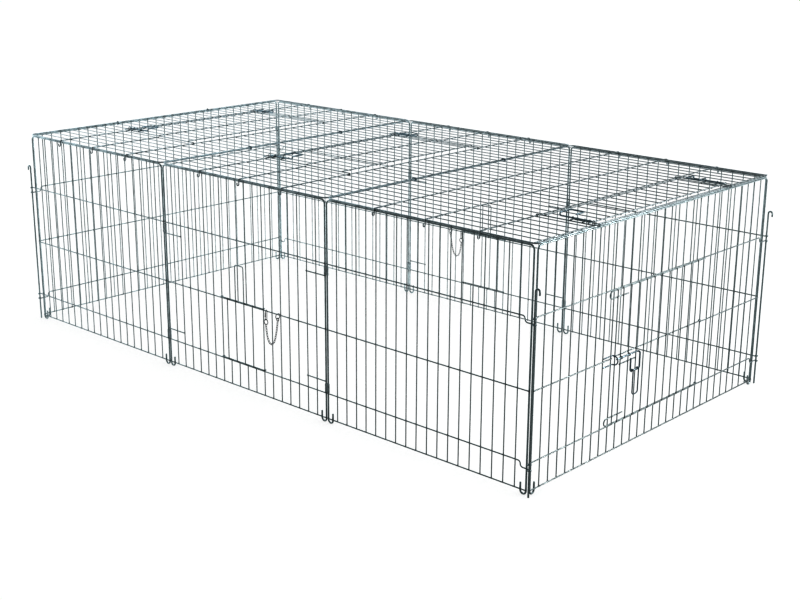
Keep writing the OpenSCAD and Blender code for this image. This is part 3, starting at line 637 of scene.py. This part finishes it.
# ---- cover ----
def flap_w(half):
    return half * COVER_PITCH - FLAP_SIDE


def flap_bolt_y(half):
    return flap_w(half) - STOP_H / 2


def long_wire(work, y, x0, x1):
    work.loose_wire([x0, y, COVER_Z], [x1, y, COVER_Z], COVER_WIRE_D, [0, 1, 0.2])


def cross_wire(work, x, y0, y1):
    work.wire([[x, y0, CROSS_Z], [x, y1, CROSS_Z]], CROSS_D)


def lug(work, x, side):
    out = RUN_W / 2 + (FRAME_D + CROSS_D) / 2 + LUG_GAP
    low = CROSS_Z - LUG_DROP
    work.wire([[x, side * (RUN_W / 2 - LUG_TAIL), CROSS_Z], [x, side * out, CROSS_Z], [x, side * out, low],
               [x, side * (out + LUG_W), low], [x, side * (out + LUG_W), low + LUG_DROP / 2]],
              CROSS_D, LUG_W / 2 * U_BEND)


def section(work, hinge, stop, half):
    y = RUN_W / 2
    open_from, open_to = min(hinge, stop), max(hinge, stop)
    work.wire([[0, -y, COVER_Z], [SECTION_L, -y, COVER_Z], [SECTION_L, y, COVER_Z], [0, y, COVER_Z]],
              COVER_FRAME_D, COVER_CORNER_R, closed=True)
    for j in range(1, END_GAPS):
        wire_y = (j - END_GAPS / 2) * COVER_PITCH
        if abs(j - END_GAPS / 2) < half:
            long_wire(work, wire_y, 0, open_from + OVERHANG)
            if open_to < SECTION_L - 2 * STOP_BACK:
                long_wire(work, wire_y, open_to - OVERHANG, SECTION_L)
        else:
            long_wire(work, wire_y, 0, SECTION_L)
    for k in (1, 2, 3):
        x = k * CROSS_PITCH
        if open_from + 1 < x < open_to - 1:
            for s in (-1, 1):
                cross_wire(work, x, s * (y + OVERHANG), s * (half * COVER_PITCH - OVERHANG))
        else:
            cross_wire(work, x, -y - OVERHANG, y + OVERHANG)
        for s in (-1, 1):
            lug(work, x + CROSS_D - SINK, s)
    if stop > FLAP_HINGE:
        cross_wire(work, stop, -y - OVERHANG, y + OVERHANG)
    for s in (-1, 1):
        staple(work, COVER_BOLT_Z - CROSS_Z, move(stop, s * flap_bolt_y(half), COVER_BOLT_Z) @ turn(2, 90))


def flap(work, reach, middle, half):
    w, tip = flap_w(half), reach + STOP_REACH + STOP_H / 2
    rails = [reach - BOLT_BACK - x for x in STAPLE_X]
    x, z = [1, 0, 0], [0, 0, 1]
    for s in (-1, 1):
        line, straights = bent([[0, s * w, FLAP_Z], [tip, s * w, FLAP_Z], [tip, s * (w - STOP_H), FLAP_Z],
                                [rails[1] - OVERHANG, s * (w - STOP_H), FLAP_Z]], STOP_H / 2 * U_BEND)
        work.run(joined(arc([0, s * w, CROSS_Z], x, z, HINGE_R, 345, 90), line), CROSS_D, straights)
        for rail in rails:
            work.wire([[rail, s * (w + OVERHANG), FLAP_CROSS_Z],
                       [rail, s * ((half - 1) * COVER_PITCH - OVERHANG), FLAP_CROSS_Z]], CROSS_D)
            place = move(rail, s * flap_bolt_y(half), COVER_BOLT_Z) @ turn(2, 90)
            staple(work, COVER_BOLT_Z - FLAP_CROSS_Z, place)
    for j in range(1 - half, half):
        work.loose_wire([FLAP_BACK - OVERHANG, j * COVER_PITCH, FLAP_Z],
                        [reach - FLAP_FRONT + OVERHANG, j * COVER_PITCH, FLAP_Z], COVER_WIRE_D, [0, 1, 0.2])
    for x in [FLAP_BACK, reach - FLAP_FRONT, *middle]:
        work.wire([[x, -w - OVERHANG, FLAP_CROSS_Z], [x, w + OVERHANG, FLAP_CROSS_Z]], CROSS_D)


def clip_pair(work, i):
    """Two clips round the frames of section i and the one on its left."""
    for s in (-1, 1):
        place = move(SECTION_X[i] - COVER_GAP / 2, s * CLIP_AT * COVER_PITCH, COVER_Z) @ turn(0, 90)
        work.run(stadium(COVER_GAP, (COVER_FRAME_D + CLIP_D) / 2 + PLAY), CLIP_D, closed=True, place=place)


def end_clips(work):
    for s in (-1, 1):
        middle = move(-RUN_L / 2, s * CLIP_AT * COVER_PITCH, (WALL_TOP + COVER_Z) / 2)
        place = middle @ turn(2, 90) @ turn(1, -90)
        work.run(stadium(COVER_Z - WALL_TOP, (FRAME_D + CLIP_D) / 2 + PLAY), CLIP_D, closed=True, place=place)


# ---- hatch chain: links on a hanging curve between the snap hook's ring and the ring on the wall ----
LINK_L = 2 * LINK_W
LINK_PITCH = LINK_L - LINK_D - PLAY
CHAIN_L = CHAIN_LINKS * LINK_PITCH
CHAIN_HOLD = (RING_D + LINK_D) / 2 + REST_GAP - (LINK_L - LINK_PITCH) / 2
SNAP_Z = (ROW_D + SNAP_D) / 2 + PLAY - SNAP_R - SNAP_L / 2
HOOK_RING_Z = SNAP_Z - SNAP_L / 2 - SNAP_R + (SNAP_D + RING_D) / 2 + PLAY - RING_R
WALL_RING_Z = (ROW_D + RING_D) / 2 + PLAY - RING_R
SMALL_RING_Z = WALL_RING_Z - RING_R + RING_D + PLAY - SMALL_RING_R
CHAIN_START = HOOK_RING_Z - RING_R + CHAIN_HOLD
CHAIN_RISE = SMALL_RING_Z - SMALL_RING_R + CHAIN_HOLD - CHAIN_START
# CHAIN_S is the length of chain from its start down to its lowest point. The start lies at the
# height sqrt(c c + S S) of the curve, which is also CHAIN_HIGH - CHAIN_FALL S, with c = CHAIN_BOW.
CHAIN_HIGH = (CHAIN_L**2 - CHAIN_RISE**2) / (2 * CHAIN_RISE)
CHAIN_FALL = CHAIN_L / CHAIN_RISE
CHAIN_ROOT = (CHAIN_HIGH * CHAIN_FALL) ** 2 - (CHAIN_FALL**2 - 1) * (CHAIN_HIGH**2 - CHAIN_BOW**2)
CHAIN_S = (CHAIN_HIGH * CHAIN_FALL - CHAIN_ROOT**0.5) / (CHAIN_FALL**2 - 1)
CHAIN_SPAN = CHAIN_BOW * (np.arcsinh(CHAIN_S / CHAIN_BOW) + np.arcsinh((CHAIN_L - CHAIN_S) / CHAIN_BOW))


def chain_joints():
    """Points a link apart on the catenary x = c asinh(s / c), z = sqrt(c c + s s)."""
    s = np.arange(CHAIN_LINKS + 1) * LINK_PITCH - CHAIN_S
    x = CHAIN_BOW * (np.arcsinh(CHAIN_S / CHAIN_BOW) + np.arcsinh(s / CHAIN_BOW))
    z = CHAIN_START + np.hypot(CHAIN_BOW, s) - np.hypot(CHAIN_BOW, CHAIN_S)
    return np.stack([x, 0 * s, z], 1)


def chain(work):
    joints = chain_joints()
    for k in range(CHAIN_LINKS):
        v = joints[k + 1] - joints[k]
        middle = (joints[k] + joints[k + 1]) / 2
        place = move(*middle) @ turn(1, -np.degrees(np.arctan2(v[2], v[0]))) @ turn(0, 90 * (k % 2))
        work.run(stadium(LINK_L - LINK_W, LINK_W / 2), LINK_D, closed=True, place=place)


def circle(r):
    return arc([0, 0, 0], [1, 0, 0], [0, 1, 0], r, 0, 348, 12)


def chain_rings(work):
    work.run(circle(RING_R), RING_D, closed=True, place=move(0, 0, HOOK_RING_Z) @ turn(0, 90))
    work.run(circle(RING_R), RING_D, closed=True, place=move(CHAIN_SPAN, 0, WALL_RING_Z) @ turn(1, 90))
    work.run(circle(SMALL_RING_R), RING_D, closed=True, place=move(CHAIN_SPAN, 0, SMALL_RING_Z) @ turn(0, 90))


def snap_hook(work):
    place = move(0, 0, SNAP_Z)
    work.run(stadium(SNAP_L, SNAP_R), SNAP_D, closed=True, place=place @ turn(1, -90))
    work.wire([[0, -SNAP_R, -SNAP_L / 4], [0, -SNAP_R, SNAP_L / 3]], GATE_D, place=place)


# ---- node helpers ----
def node(tree, kind, links, **settings):
    """Add a node; links maps an input's name to a value or to another node's output."""
    made = tree.nodes.new(kind)
    for name, value in settings.items():
        setattr(made, name, value)
    for name, value in links.items():
        if isinstance(value, bpy.types.NodeSocket):
            tree.links.new(value, made.inputs[name])
        else:
            made.inputs[name].default_value = value
    return made


def ramp(tree, value, low, high, to_low=0.0, to_high=1.0):
    return node(tree, "ShaderNodeMapRange", {"Value": value, "From Min": low, "From Max": high,
                "To Min": to_low, "To Max": to_high}, interpolation_type="SMOOTHSTEP").outputs["Result"]


def blend(tree, factor, first, second):
    return node(tree, "ShaderNodeMix", {"Factor": factor, "A": first, "B": second},
                data_type="RGBA").outputs["Result"]


# ---- finishes ----
def sockets(tree, ins, outs):
    for name, kind, value in ins:
        s = tree.interface.new_socket(name, in_out="INPUT", socket_type=kind)
        s.default_value = value
    for name, kind in outs:
        tree.interface.new_socket(name, in_out="OUTPUT", socket_type=kind)


def zinc_group():
    """Galvanised wire. Cloudy patches of dull bloom in object space, drawing marks that run along
    the wire, and a burnt, rougher skin near each weld. It gives a colour, a roughness and a height."""
    tree = bpy.data.node_groups.new("zinc_skin", "ShaderNodeTree")
    sockets(tree, [("Bright", "NodeSocketColor", (0.5, 0.5, 0.5, 1)),
                   ("Bloom", "NodeSocketColor", (0.4, 0.4, 0.4, 1)),
                   ("Burn", "NodeSocketColor", (0.2, 0.2, 0.2, 1)), ("Patch size", "NodeSocketFloat", 45.0),
                   ("Smoothness", "NodeSocketFloat", 0.28), ("Weld", "NodeSocketFloat", 0.0),
                   ("Place", "NodeSocketVector", (0, 0, 0)), ("Along", "NodeSocketVector", (0, 0, 0))],
            [("Colour", "NodeSocketColor"), ("Roughness", "NodeSocketFloat"), ("Height", "NodeSocketFloat")])
    given = tree.nodes.new("NodeGroupInput").outputs

    def noise(vector, scale, detail, rough):
        return node(tree, "ShaderNodeTexNoise", {"Vector": vector, "Scale": scale, "Detail": detail,
                                                 "Roughness": rough}).outputs["Fac"]

    def sums(kind, x, y):
        return node(tree, "ShaderNodeMath", {0: x, 1: y}, operation=kind).outputs[0]

    stretched = node(tree, "ShaderNodeMapping", {"Vector": given["Along"], "Scale": (35, 9, 1)})
    patch = ramp(tree, noise(given["Place"], given["Patch size"], 4, 0.62), 0.38, 0.64)
    grain = noise(given["Place"], 1300, 2, 0.5)
    lines = noise(stretched.outputs["Vector"], 1.0, 3, 0.55)
    patchy = ramp(tree, noise(given["Place"], 260, 2, 0.5), 0.3, 0.7, 0.45, 1)
    burn = sums("MULTIPLY", given["Weld"], patchy)
    colour = blend(tree, burn, blend(tree, patch, given["Bright"], given["Bloom"]), given["Burn"])
    shade = ramp(tree, lines, 0.3, 0.7, 0.86, 1.12)
    rough = sums("ADD", given["Smoothness"], sums("MULTIPLY", patch, 0.2))
    rough = sums("ADD", rough, sums("MULTIPLY", burn, 0.22))
    height = sums("ADD", sums("MULTIPLY", grain, 0.6), sums("MULTIPLY", lines, 0.8))
    node(tree, "NodeGroupOutput", {
        "Colour": node(tree, "ShaderNodeHueSaturation", {"Color": colour, "Value": shade}).outputs["Color"],
        "Roughness": sums("ADD", rough, sums("MULTIPLY", lines, 0.1)),
        "Height": sums("ADD", height, sums("MULTIPLY", patch, 0.5))})
    return tree


SKIN = zinc_group()
# The last value is the near-white colour painted onto a wire's rims: a painted sheen.
METALLIC, BUMP_M, PAINTED_SHEEN_COLOUR = 0.92, 0.00012, (0.96, 0.99, 1, 1)


def zinc(name, bright, bloom, burn, smoothness, patch=45.0, painted_stout_highlight=0.0, painted_rim_sheen=1.0):
    """Wire finish. A stout wire's base colour is painted brighter by the share given for it, a painted
    highlight, and a wire's colour is painted paler towards near-white at its rims by the share given for
    that, a painted sheen."""
    made = bpy.data.materials.new(name)
    made.use_nodes = True
    tree = made.node_tree
    weld, stout = (node(tree, "ShaderNodeAttribute", {}, attribute_name=a).outputs["Fac"]
                   for a in ("weld", "stout"))
    skin = node(tree, "ShaderNodeGroup", {
        "Bright": (*bright, 1), "Bloom": (*bloom, 1), "Burn": (*burn, 1), "Patch size": patch,
        "Smoothness": smoothness, "Weld": weld,
        "Place": tree.nodes.new("ShaderNodeTexCoord").outputs["Object"],
        "Along": node(tree, "ShaderNodeUVMap", {}, uv_map="wire").outputs["UV"]}, node_tree=SKIN).outputs
    # Brighter base colour on stout wires: a painted highlight.
    painted_highlight_value = node(tree, "ShaderNodeMath", {0: stout, 1: painted_stout_highlight, 2: 1.0}, operation="MULTIPLY_ADD").outputs[0]
    body = node(tree, "ShaderNodeHueSaturation", {"Color": skin["Colour"], "Value": painted_highlight_value}).outputs["Color"]
    # Colour paling towards near-white where the wire faces away from the view: a painted rim sheen.
    painted_sheen_share = node(tree, "ShaderNodeMapRange", {
        "Value": tree.nodes.new("ShaderNodeLayerWeight").outputs["Facing"],
        "From Min": 0.25, "From Max": 0.85, "To Max": painted_rim_sheen}).outputs["Result"]
    lift = node(tree, "ShaderNodeBump", {"Height": skin["Height"], "Distance": BUMP_M, "Strength": 0.8})
    shader = tree.nodes["Principled BSDF"].inputs
    tree.links.new(blend(tree, painted_sheen_share, body, PAINTED_SHEEN_COLOUR), shader["Base Color"])
    tree.links.new(skin["Roughness"], shader["Roughness"])
    tree.links.new(lift.outputs["Normal"], shader["Normal"])
    shader["Metallic"].default_value = METALLIC
    return made


# The stout wires' brightening and the rim paling set here are a painted highlight and a painted sheen.
PANEL = zinc("zinc_panel_wire", (0.52, 0.58, 0.58), (0.37, 0.42, 0.42), (0.2, 0.22, 0.22), 0.22, painted_stout_highlight=0.25)
COVER = zinc("zinc_cover_wire", (0.54, 0.58, 0.59), (0.40, 0.44, 0.45), (0.22, 0.24, 0.24), 0.24, painted_stout_highlight=0.25)
ROD = zinc("zinc_rod", (0.60, 0.66, 0.66), (0.45, 0.50, 0.50), (0.3, 0.3, 0.3), 0.2, patch=30.0)
LATCH = zinc("zinc_latch_wire", (0.40, 0.48, 0.52), (0.23, 0.28, 0.31), (0.1, 0.1, 0.1), 0.2,
             patch=60.0, painted_stout_highlight=0.2, painted_rim_sheen=0.3)
SLEEVE = zinc("zinc_sheet_sleeve", (0.8, 0.86, 0.87), (0.6, 0.66, 0.66), (0.3, 0.3, 0.3), 0.3, patch=120.0)
CHAIN = zinc("plated_chain", (0.34, 0.34, 0.33), (0.2, 0.2, 0.195), (0.1, 0.1, 0.1), 0.2, patch=160.0)

# ---- pieces ----
BACK = turn(2, 180)
END_WALL = move(RUN_L / 2, -RUN_W / 2 + CORNER_BACK) @ turn(2, 90)


def side_place(i):
    return move(-RUN_L / 2 + CORNER_BACK + i * (SIDE_W + PANEL_GAP), -RUN_W / 2)


def flap_place(i):
    return move(SECTION_X[i] + FLAP_HINGE) @ turn(2, 180 if i < 2 else 0)


def flap_bolt_place(i, side):
    reach, half = (FLAP_REACH, FLAP_HALF) if i < 2 else (END_REACH, END_FLAP_HALF)
    return flap_place(i) @ move(reach - BOLT_BACK, side * flap_bolt_y(half), COVER_BOLT_Z)


HATCH = side_place(1) @ move(HATCH_FIRST * PITCH)
DOOR_BOLT = (END_WALL @ move(DOOR_JAMB * PITCH + EDGE_INSET + BOLT_BACK, -BOLT_OUT, BOLT_Z)
             @ turn(1, 180) @ turn(0, 90))
CHAIN_X = (HATCH_FIRST + HATCH_GAPS) * PITCH + RING_R + CHAIN_ASIDE
CHAIN_PLACE = side_place(1) @ move(CHAIN_X, -ROW_OUT, MIDDLE) @ turn(0, -CHAIN_LEAN)
ROD_X, ROD_Y = RUN_L / 2 + EYE_OUT, RUN_W / 2 + EYE_OUT


def inner_section(work):
    section(work, FLAP_HINGE, CROSS_PITCH, FLAP_HALF)


def end_section(work):
    section(work, FLAP_HINGE, END_STOP, END_FLAP_HALF)


def inner_flap(work):
    flap(work, FLAP_REACH, [CROSS_PITCH], FLAP_HALF)


def end_flap(work):
    flap(work, END_REACH, [], END_FLAP_HALF)


# node, place, what draws it, finish, slot and number of sides of its wires
PIECES = [
    ("front_wall_left", side_place(0), lambda w: side_panel(w, left=True), PANEL, "panel_wire", 12),
    ("front_wall_middle", side_place(1), lambda w: side_panel(w, hatch=True), PANEL, "panel_wire", 12),
    ("front_wall_right", side_place(2), lambda w: side_panel(w, right=True), PANEL, "panel_wire", 12),
    ("back_wall_right", BACK @ side_place(0), lambda w: side_panel(w, left=True), PANEL, "panel_wire", 12),
    ("back_wall_middle", BACK @ side_place(1), lambda w: side_panel(w, hatch=True), PANEL, "panel_wire", 12),
    ("back_wall_left", BACK @ side_place(2), lambda w: side_panel(w, right=True), PANEL, "panel_wire", 12),
    ("right_end_wall", END_WALL, lambda w: end_panel(w, True), PANEL, "panel_wire", 12),
    ("left_end_wall", BACK @ END_WALL, lambda w: end_panel(w, False), PANEL, "panel_wire", 12),
    ("front_left_sleeves", side_place(0), sleeve_pair, SLEEVE, "sleeve_sheet", 12),
    ("front_right_sleeves", side_place(1), sleeve_pair, SLEEVE, "sleeve_sheet", 12),
    ("back_right_sleeves", BACK @ side_place(0), sleeve_pair, SLEEVE, "sleeve_sheet", 12),
    ("back_left_sleeves", BACK @ side_place(1), sleeve_pair, SLEEVE, "sleeve_sheet", 12),
    ("front_left_rod", move(-ROD_X, -ROD_Y) @ flip(0), corner_rod, ROD, "rod_wire", 20),
    ("front_right_rod", move(ROD_X, -ROD_Y), corner_rod, ROD, "rod_wire", 20),
    ("back_left_rod", move(-ROD_X, ROD_Y) @ flip(0), corner_rod, ROD, "rod_wire", 20),
    ("back_right_rod", move(ROD_X, ROD_Y), corner_rod, ROD, "rod_wire", 20),
    ("front_hatch", HATCH, hatch, PANEL, "panel_wire", 14),
    ("back_hatch", BACK @ HATCH, hatch, PANEL, "panel_wire", 14),
    ("end_door", END_WALL, door, PANEL, "panel_wire", 12),
    ("door_keeper", END_WALL, keeper, LATCH, "fastener_wire", 18),
    ("door_bolt", DOOR_BOLT, lambda w: bolt(w, 1), LATCH, "fastener_wire", 20),
    ("door_pull", DOOR_BOLT, hanging_pull, LATCH, "fastener_wire", 18),
    ("cover_left", move(SECTION_X[0]), inner_section, COVER, "cover_wire", 12),
    ("cover_middle", move(SECTION_X[1]), inner_section, COVER, "cover_wire", 12),
    ("cover_right", move(SECTION_X[2]), end_section, COVER, "cover_wire", 12),
    ("flap_left", flap_place(0), inner_flap, COVER, "cover_wire", 12),
    ("flap_middle", flap_place(1), inner_flap, COVER, "cover_wire", 12),
    ("flap_right", flap_place(2), end_flap, COVER, "cover_wire", 12),
    ("flap_left_bolt_front", flap_bolt_place(0, 1), lambda w: bolt(w, -1), LATCH, "fastener_wire", 20),
    ("flap_left_bolt_back", flap_bolt_place(0, -1), lambda w: bolt(w, 1), LATCH, "fastener_wire", 20),
    ("flap_middle_bolt_front", flap_bolt_place(1, 1), lambda w: bolt(w, -1), LATCH, "fastener_wire", 20),
    ("flap_middle_bolt_back", flap_bolt_place(1, -1), lambda w: bolt(w, 1), LATCH, "fastener_wire", 20),
    ("flap_right_bolt_front", flap_bolt_place(2, -1), lambda w: bolt(w, 1), LATCH, "fastener_wire", 20),
    ("flap_right_bolt_back", flap_bolt_place(2, 1), lambda w: bolt(w, -1), LATCH, "fastener_wire", 20),
    ("clips_end_wall", np.eye(4), end_clips, LATCH, "fastener_wire", 16),
    ("clips_left", np.eye(4), lambda w: clip_pair(w, 1), LATCH, "fastener_wire", 16),
    ("clips_right", np.eye(4), lambda w: clip_pair(w, 2), LATCH, "fastener_wire", 16),
    ("front_snap_hook", CHAIN_PLACE, snap_hook, CHAIN, "chain_metal", 14),
    ("front_chain", CHAIN_PLACE, chain, CHAIN, "chain_metal", 10),
    ("front_chain_rings", CHAIN_PLACE, chain_rings, CHAIN, "chain_metal", 12),
    ("back_snap_hook", BACK @ CHAIN_PLACE, snap_hook, CHAIN, "chain_metal", 14),
    ("back_chain", BACK @ CHAIN_PLACE, chain, CHAIN, "chain_metal", 10),
    ("back_chain_rings", BACK @ CHAIN_PLACE, chain_rings, CHAIN, "chain_metal", 12),
]

bodies = frame["record"]["behaviour"]["bodies"]
body_of = {member: body for body, members in bodies.items() for member in members}
for name, place, draw, finish, slot, sides in PIECES:
    work = Wirework(place)
    draw(work)
    piece = mesh_object(name + "_wirework", *work.surfaces(sides))
    piece.data.materials.append(finish)
    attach(piece, body_of[name])
    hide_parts(name)


# ---- floor, light and camera. The floor and the world are white to the camera; what the shiny
# wires mirror of them is a darker, graded studio, without which they would vanish on the white ----
FLOOR_NEAR, FLOOR_FAR = (0.20, 0.222, 0.225, 1), (1.25, 1.33, 1.37, 1)
SKY_DARK, SKY_GLOW = (0.15, 0.165, 0.168, 1), (1.1, 1.3, 1.38, 1)
FLOOR_HALF = 60  # metres
AWAY = (-0.68, 0.73, 0)  # the way the camera looks across the floor


def seen_from(right, up, ahead, at):
    """Place of a lamp or camera that looks along ahead."""
    return Matrix([[right[i], up[i], -ahead[i], at[i]] for i in range(3)] + [[0, 0, 0, 1]])


floor_mesh = bpy.data.meshes.new("studio_floor")
floor_corners = [(x * FLOOR_HALF, y * FLOOR_HALF, 0) for x, y in ((-1, -1), (1, -1), (1, 1), (-1, 1))]
floor_mesh.from_pydata(floor_corners, [], [(0, 1, 2, 3)])
floor = bpy.data.objects.new("studio_floor", floor_mesh)
bpy.context.scene.collection.objects.link(floor)
paper = bpy.data.materials.new("studio_paper")
paper.use_nodes = True
tree = paper.node_tree
path = tree.nodes.new("ShaderNodeLightPath").outputs
on_floor = tree.nodes.new("ShaderNodeTexCoord").outputs["Object"]
depth = node(tree, "ShaderNodeVectorMath", {0: on_floor, 1: AWAY}, operation="DOT_PRODUCT").outputs["Value"]
mirrored = blend(tree, ramp(tree, depth, -0.8, 1.5), FLOOR_NEAR, FLOOR_FAR)
lit = blend(tree, path["Is Camera Ray"], (0.9, 0.9, 0.9, 1), (0.22, 0.22, 0.22, 1))
glow = node(tree, "ShaderNodeMath", {0: path["Is Camera Ray"], 1: 0.79}, operation="MULTIPLY").outputs[0]
paper_shader = tree.nodes["Principled BSDF"]
tree.links.new(blend(tree, path["Is Glossy Ray"], lit, mirrored), paper_shader.inputs["Base Color"])
tree.links.new(glow, paper_shader.inputs["Emission Strength"])
paper_shader.inputs["Emission Color"].default_value = (1, 1, 1, 1)
paper_shader.inputs["Roughness"].default_value = 0.9
paper_shader.inputs["Specular IOR Level"].default_value = 0.0
floor_mesh.materials.append(paper)

world = bpy.data.worlds.new("studio")
world.use_nodes = True
tree = world.node_tree
sky_way = tree.nodes.new("ShaderNodeTexCoord").outputs["Generated"]
towards = node(tree, "ShaderNodeSeparateXYZ", {"Vector": sky_way})
rise, fall = ramp(tree, towards.outputs["Y"], 0.3, 0.45), ramp(tree, towards.outputs["Y"], 0.68, 0.56)
back = node(tree, "ShaderNodeMath", {0: rise, 1: fall}, operation="MULTIPLY").outputs[0]
left = ramp(tree, towards.outputs["X"], -0.6, -0.85)
glow = node(tree, "ShaderNodeMath", {0: left, 1: 0.55, 2: back}, operation="MULTIPLY_ADD").outputs[0]
sky = blend(tree, glow, SKY_DARK, SKY_GLOW)
glossy = tree.nodes.new("ShaderNodeLightPath").outputs["Is Glossy Ray"]
tree.links.new(blend(tree, glossy, (1, 1, 1, 1), sky), tree.nodes["Background"].inputs["Color"])
tree.nodes["Background"].inputs["Strength"].default_value = 1.05
bpy.context.scene.world = world
bpy.context.scene.view_settings.view_transform = "Standard"
bpy.context.scene.view_settings.gamma = 0.48


def softbox(name, at, towards, width, height, power):
    lamp = bpy.data.lights.new(name, "AREA")
    lamp.shape, lamp.size, lamp.size_y, lamp.energy = "RECTANGLE", width, height, power
    made = bpy.data.objects.new(name, lamp)
    bpy.context.scene.collection.objects.link(made)
    made.visible_camera = False
    aim = unit(np.array(towards, float) - np.array(at, float))
    right = unit(np.cross(aim, [0, 0, 1]))
    up = np.cross(right, aim)
    made.matrix_world = seen_from(right, up, aim, at)


softbox("right_softbox", (2.2, 0.9, 0.75), (1.1, -0.45, 0.35), 0.5, 0.5, 9)

# The camera was fitted to straight edges in the photograph: turns in radians, place in metres and
# focal length in pixels of a picture PICTURE_W wide.
AZ, PITCH_DOWN, ROLL = -0.7436, 0.2925, 0.0062
CAMERA_AT = (2.96216, -3.09425, 1.45853)
FOCAL_PX, PICTURE_W, SENSOR_W = 1355.3, 800, 36
flat = np.cos(PITCH_DOWN)
ahead = np.array([np.sin(AZ) * flat, np.cos(AZ) * flat, -np.sin(PITCH_DOWN)])
right = np.array([np.cos(AZ), -np.sin(AZ), 0])
up = np.cross(right, ahead)
right, up = right * np.cos(ROLL) + up * np.sin(ROLL), up * np.cos(ROLL) - right * np.sin(ROLL)
lens = bpy.data.cameras.new("camera")
lens.sensor_width, lens.lens = SENSOR_W, SENSOR_W * FOCAL_PX / PICTURE_W
lens.clip_start, lens.clip_end = 0.05, 200
camera = bpy.data.objects.new("camera", lens)
camera.matrix_world = seen_from(right, up, ahead, CAMERA_AT)
bpy.context.scene.collection.objects.link(camera)
bpy.context.scene.camera = camera
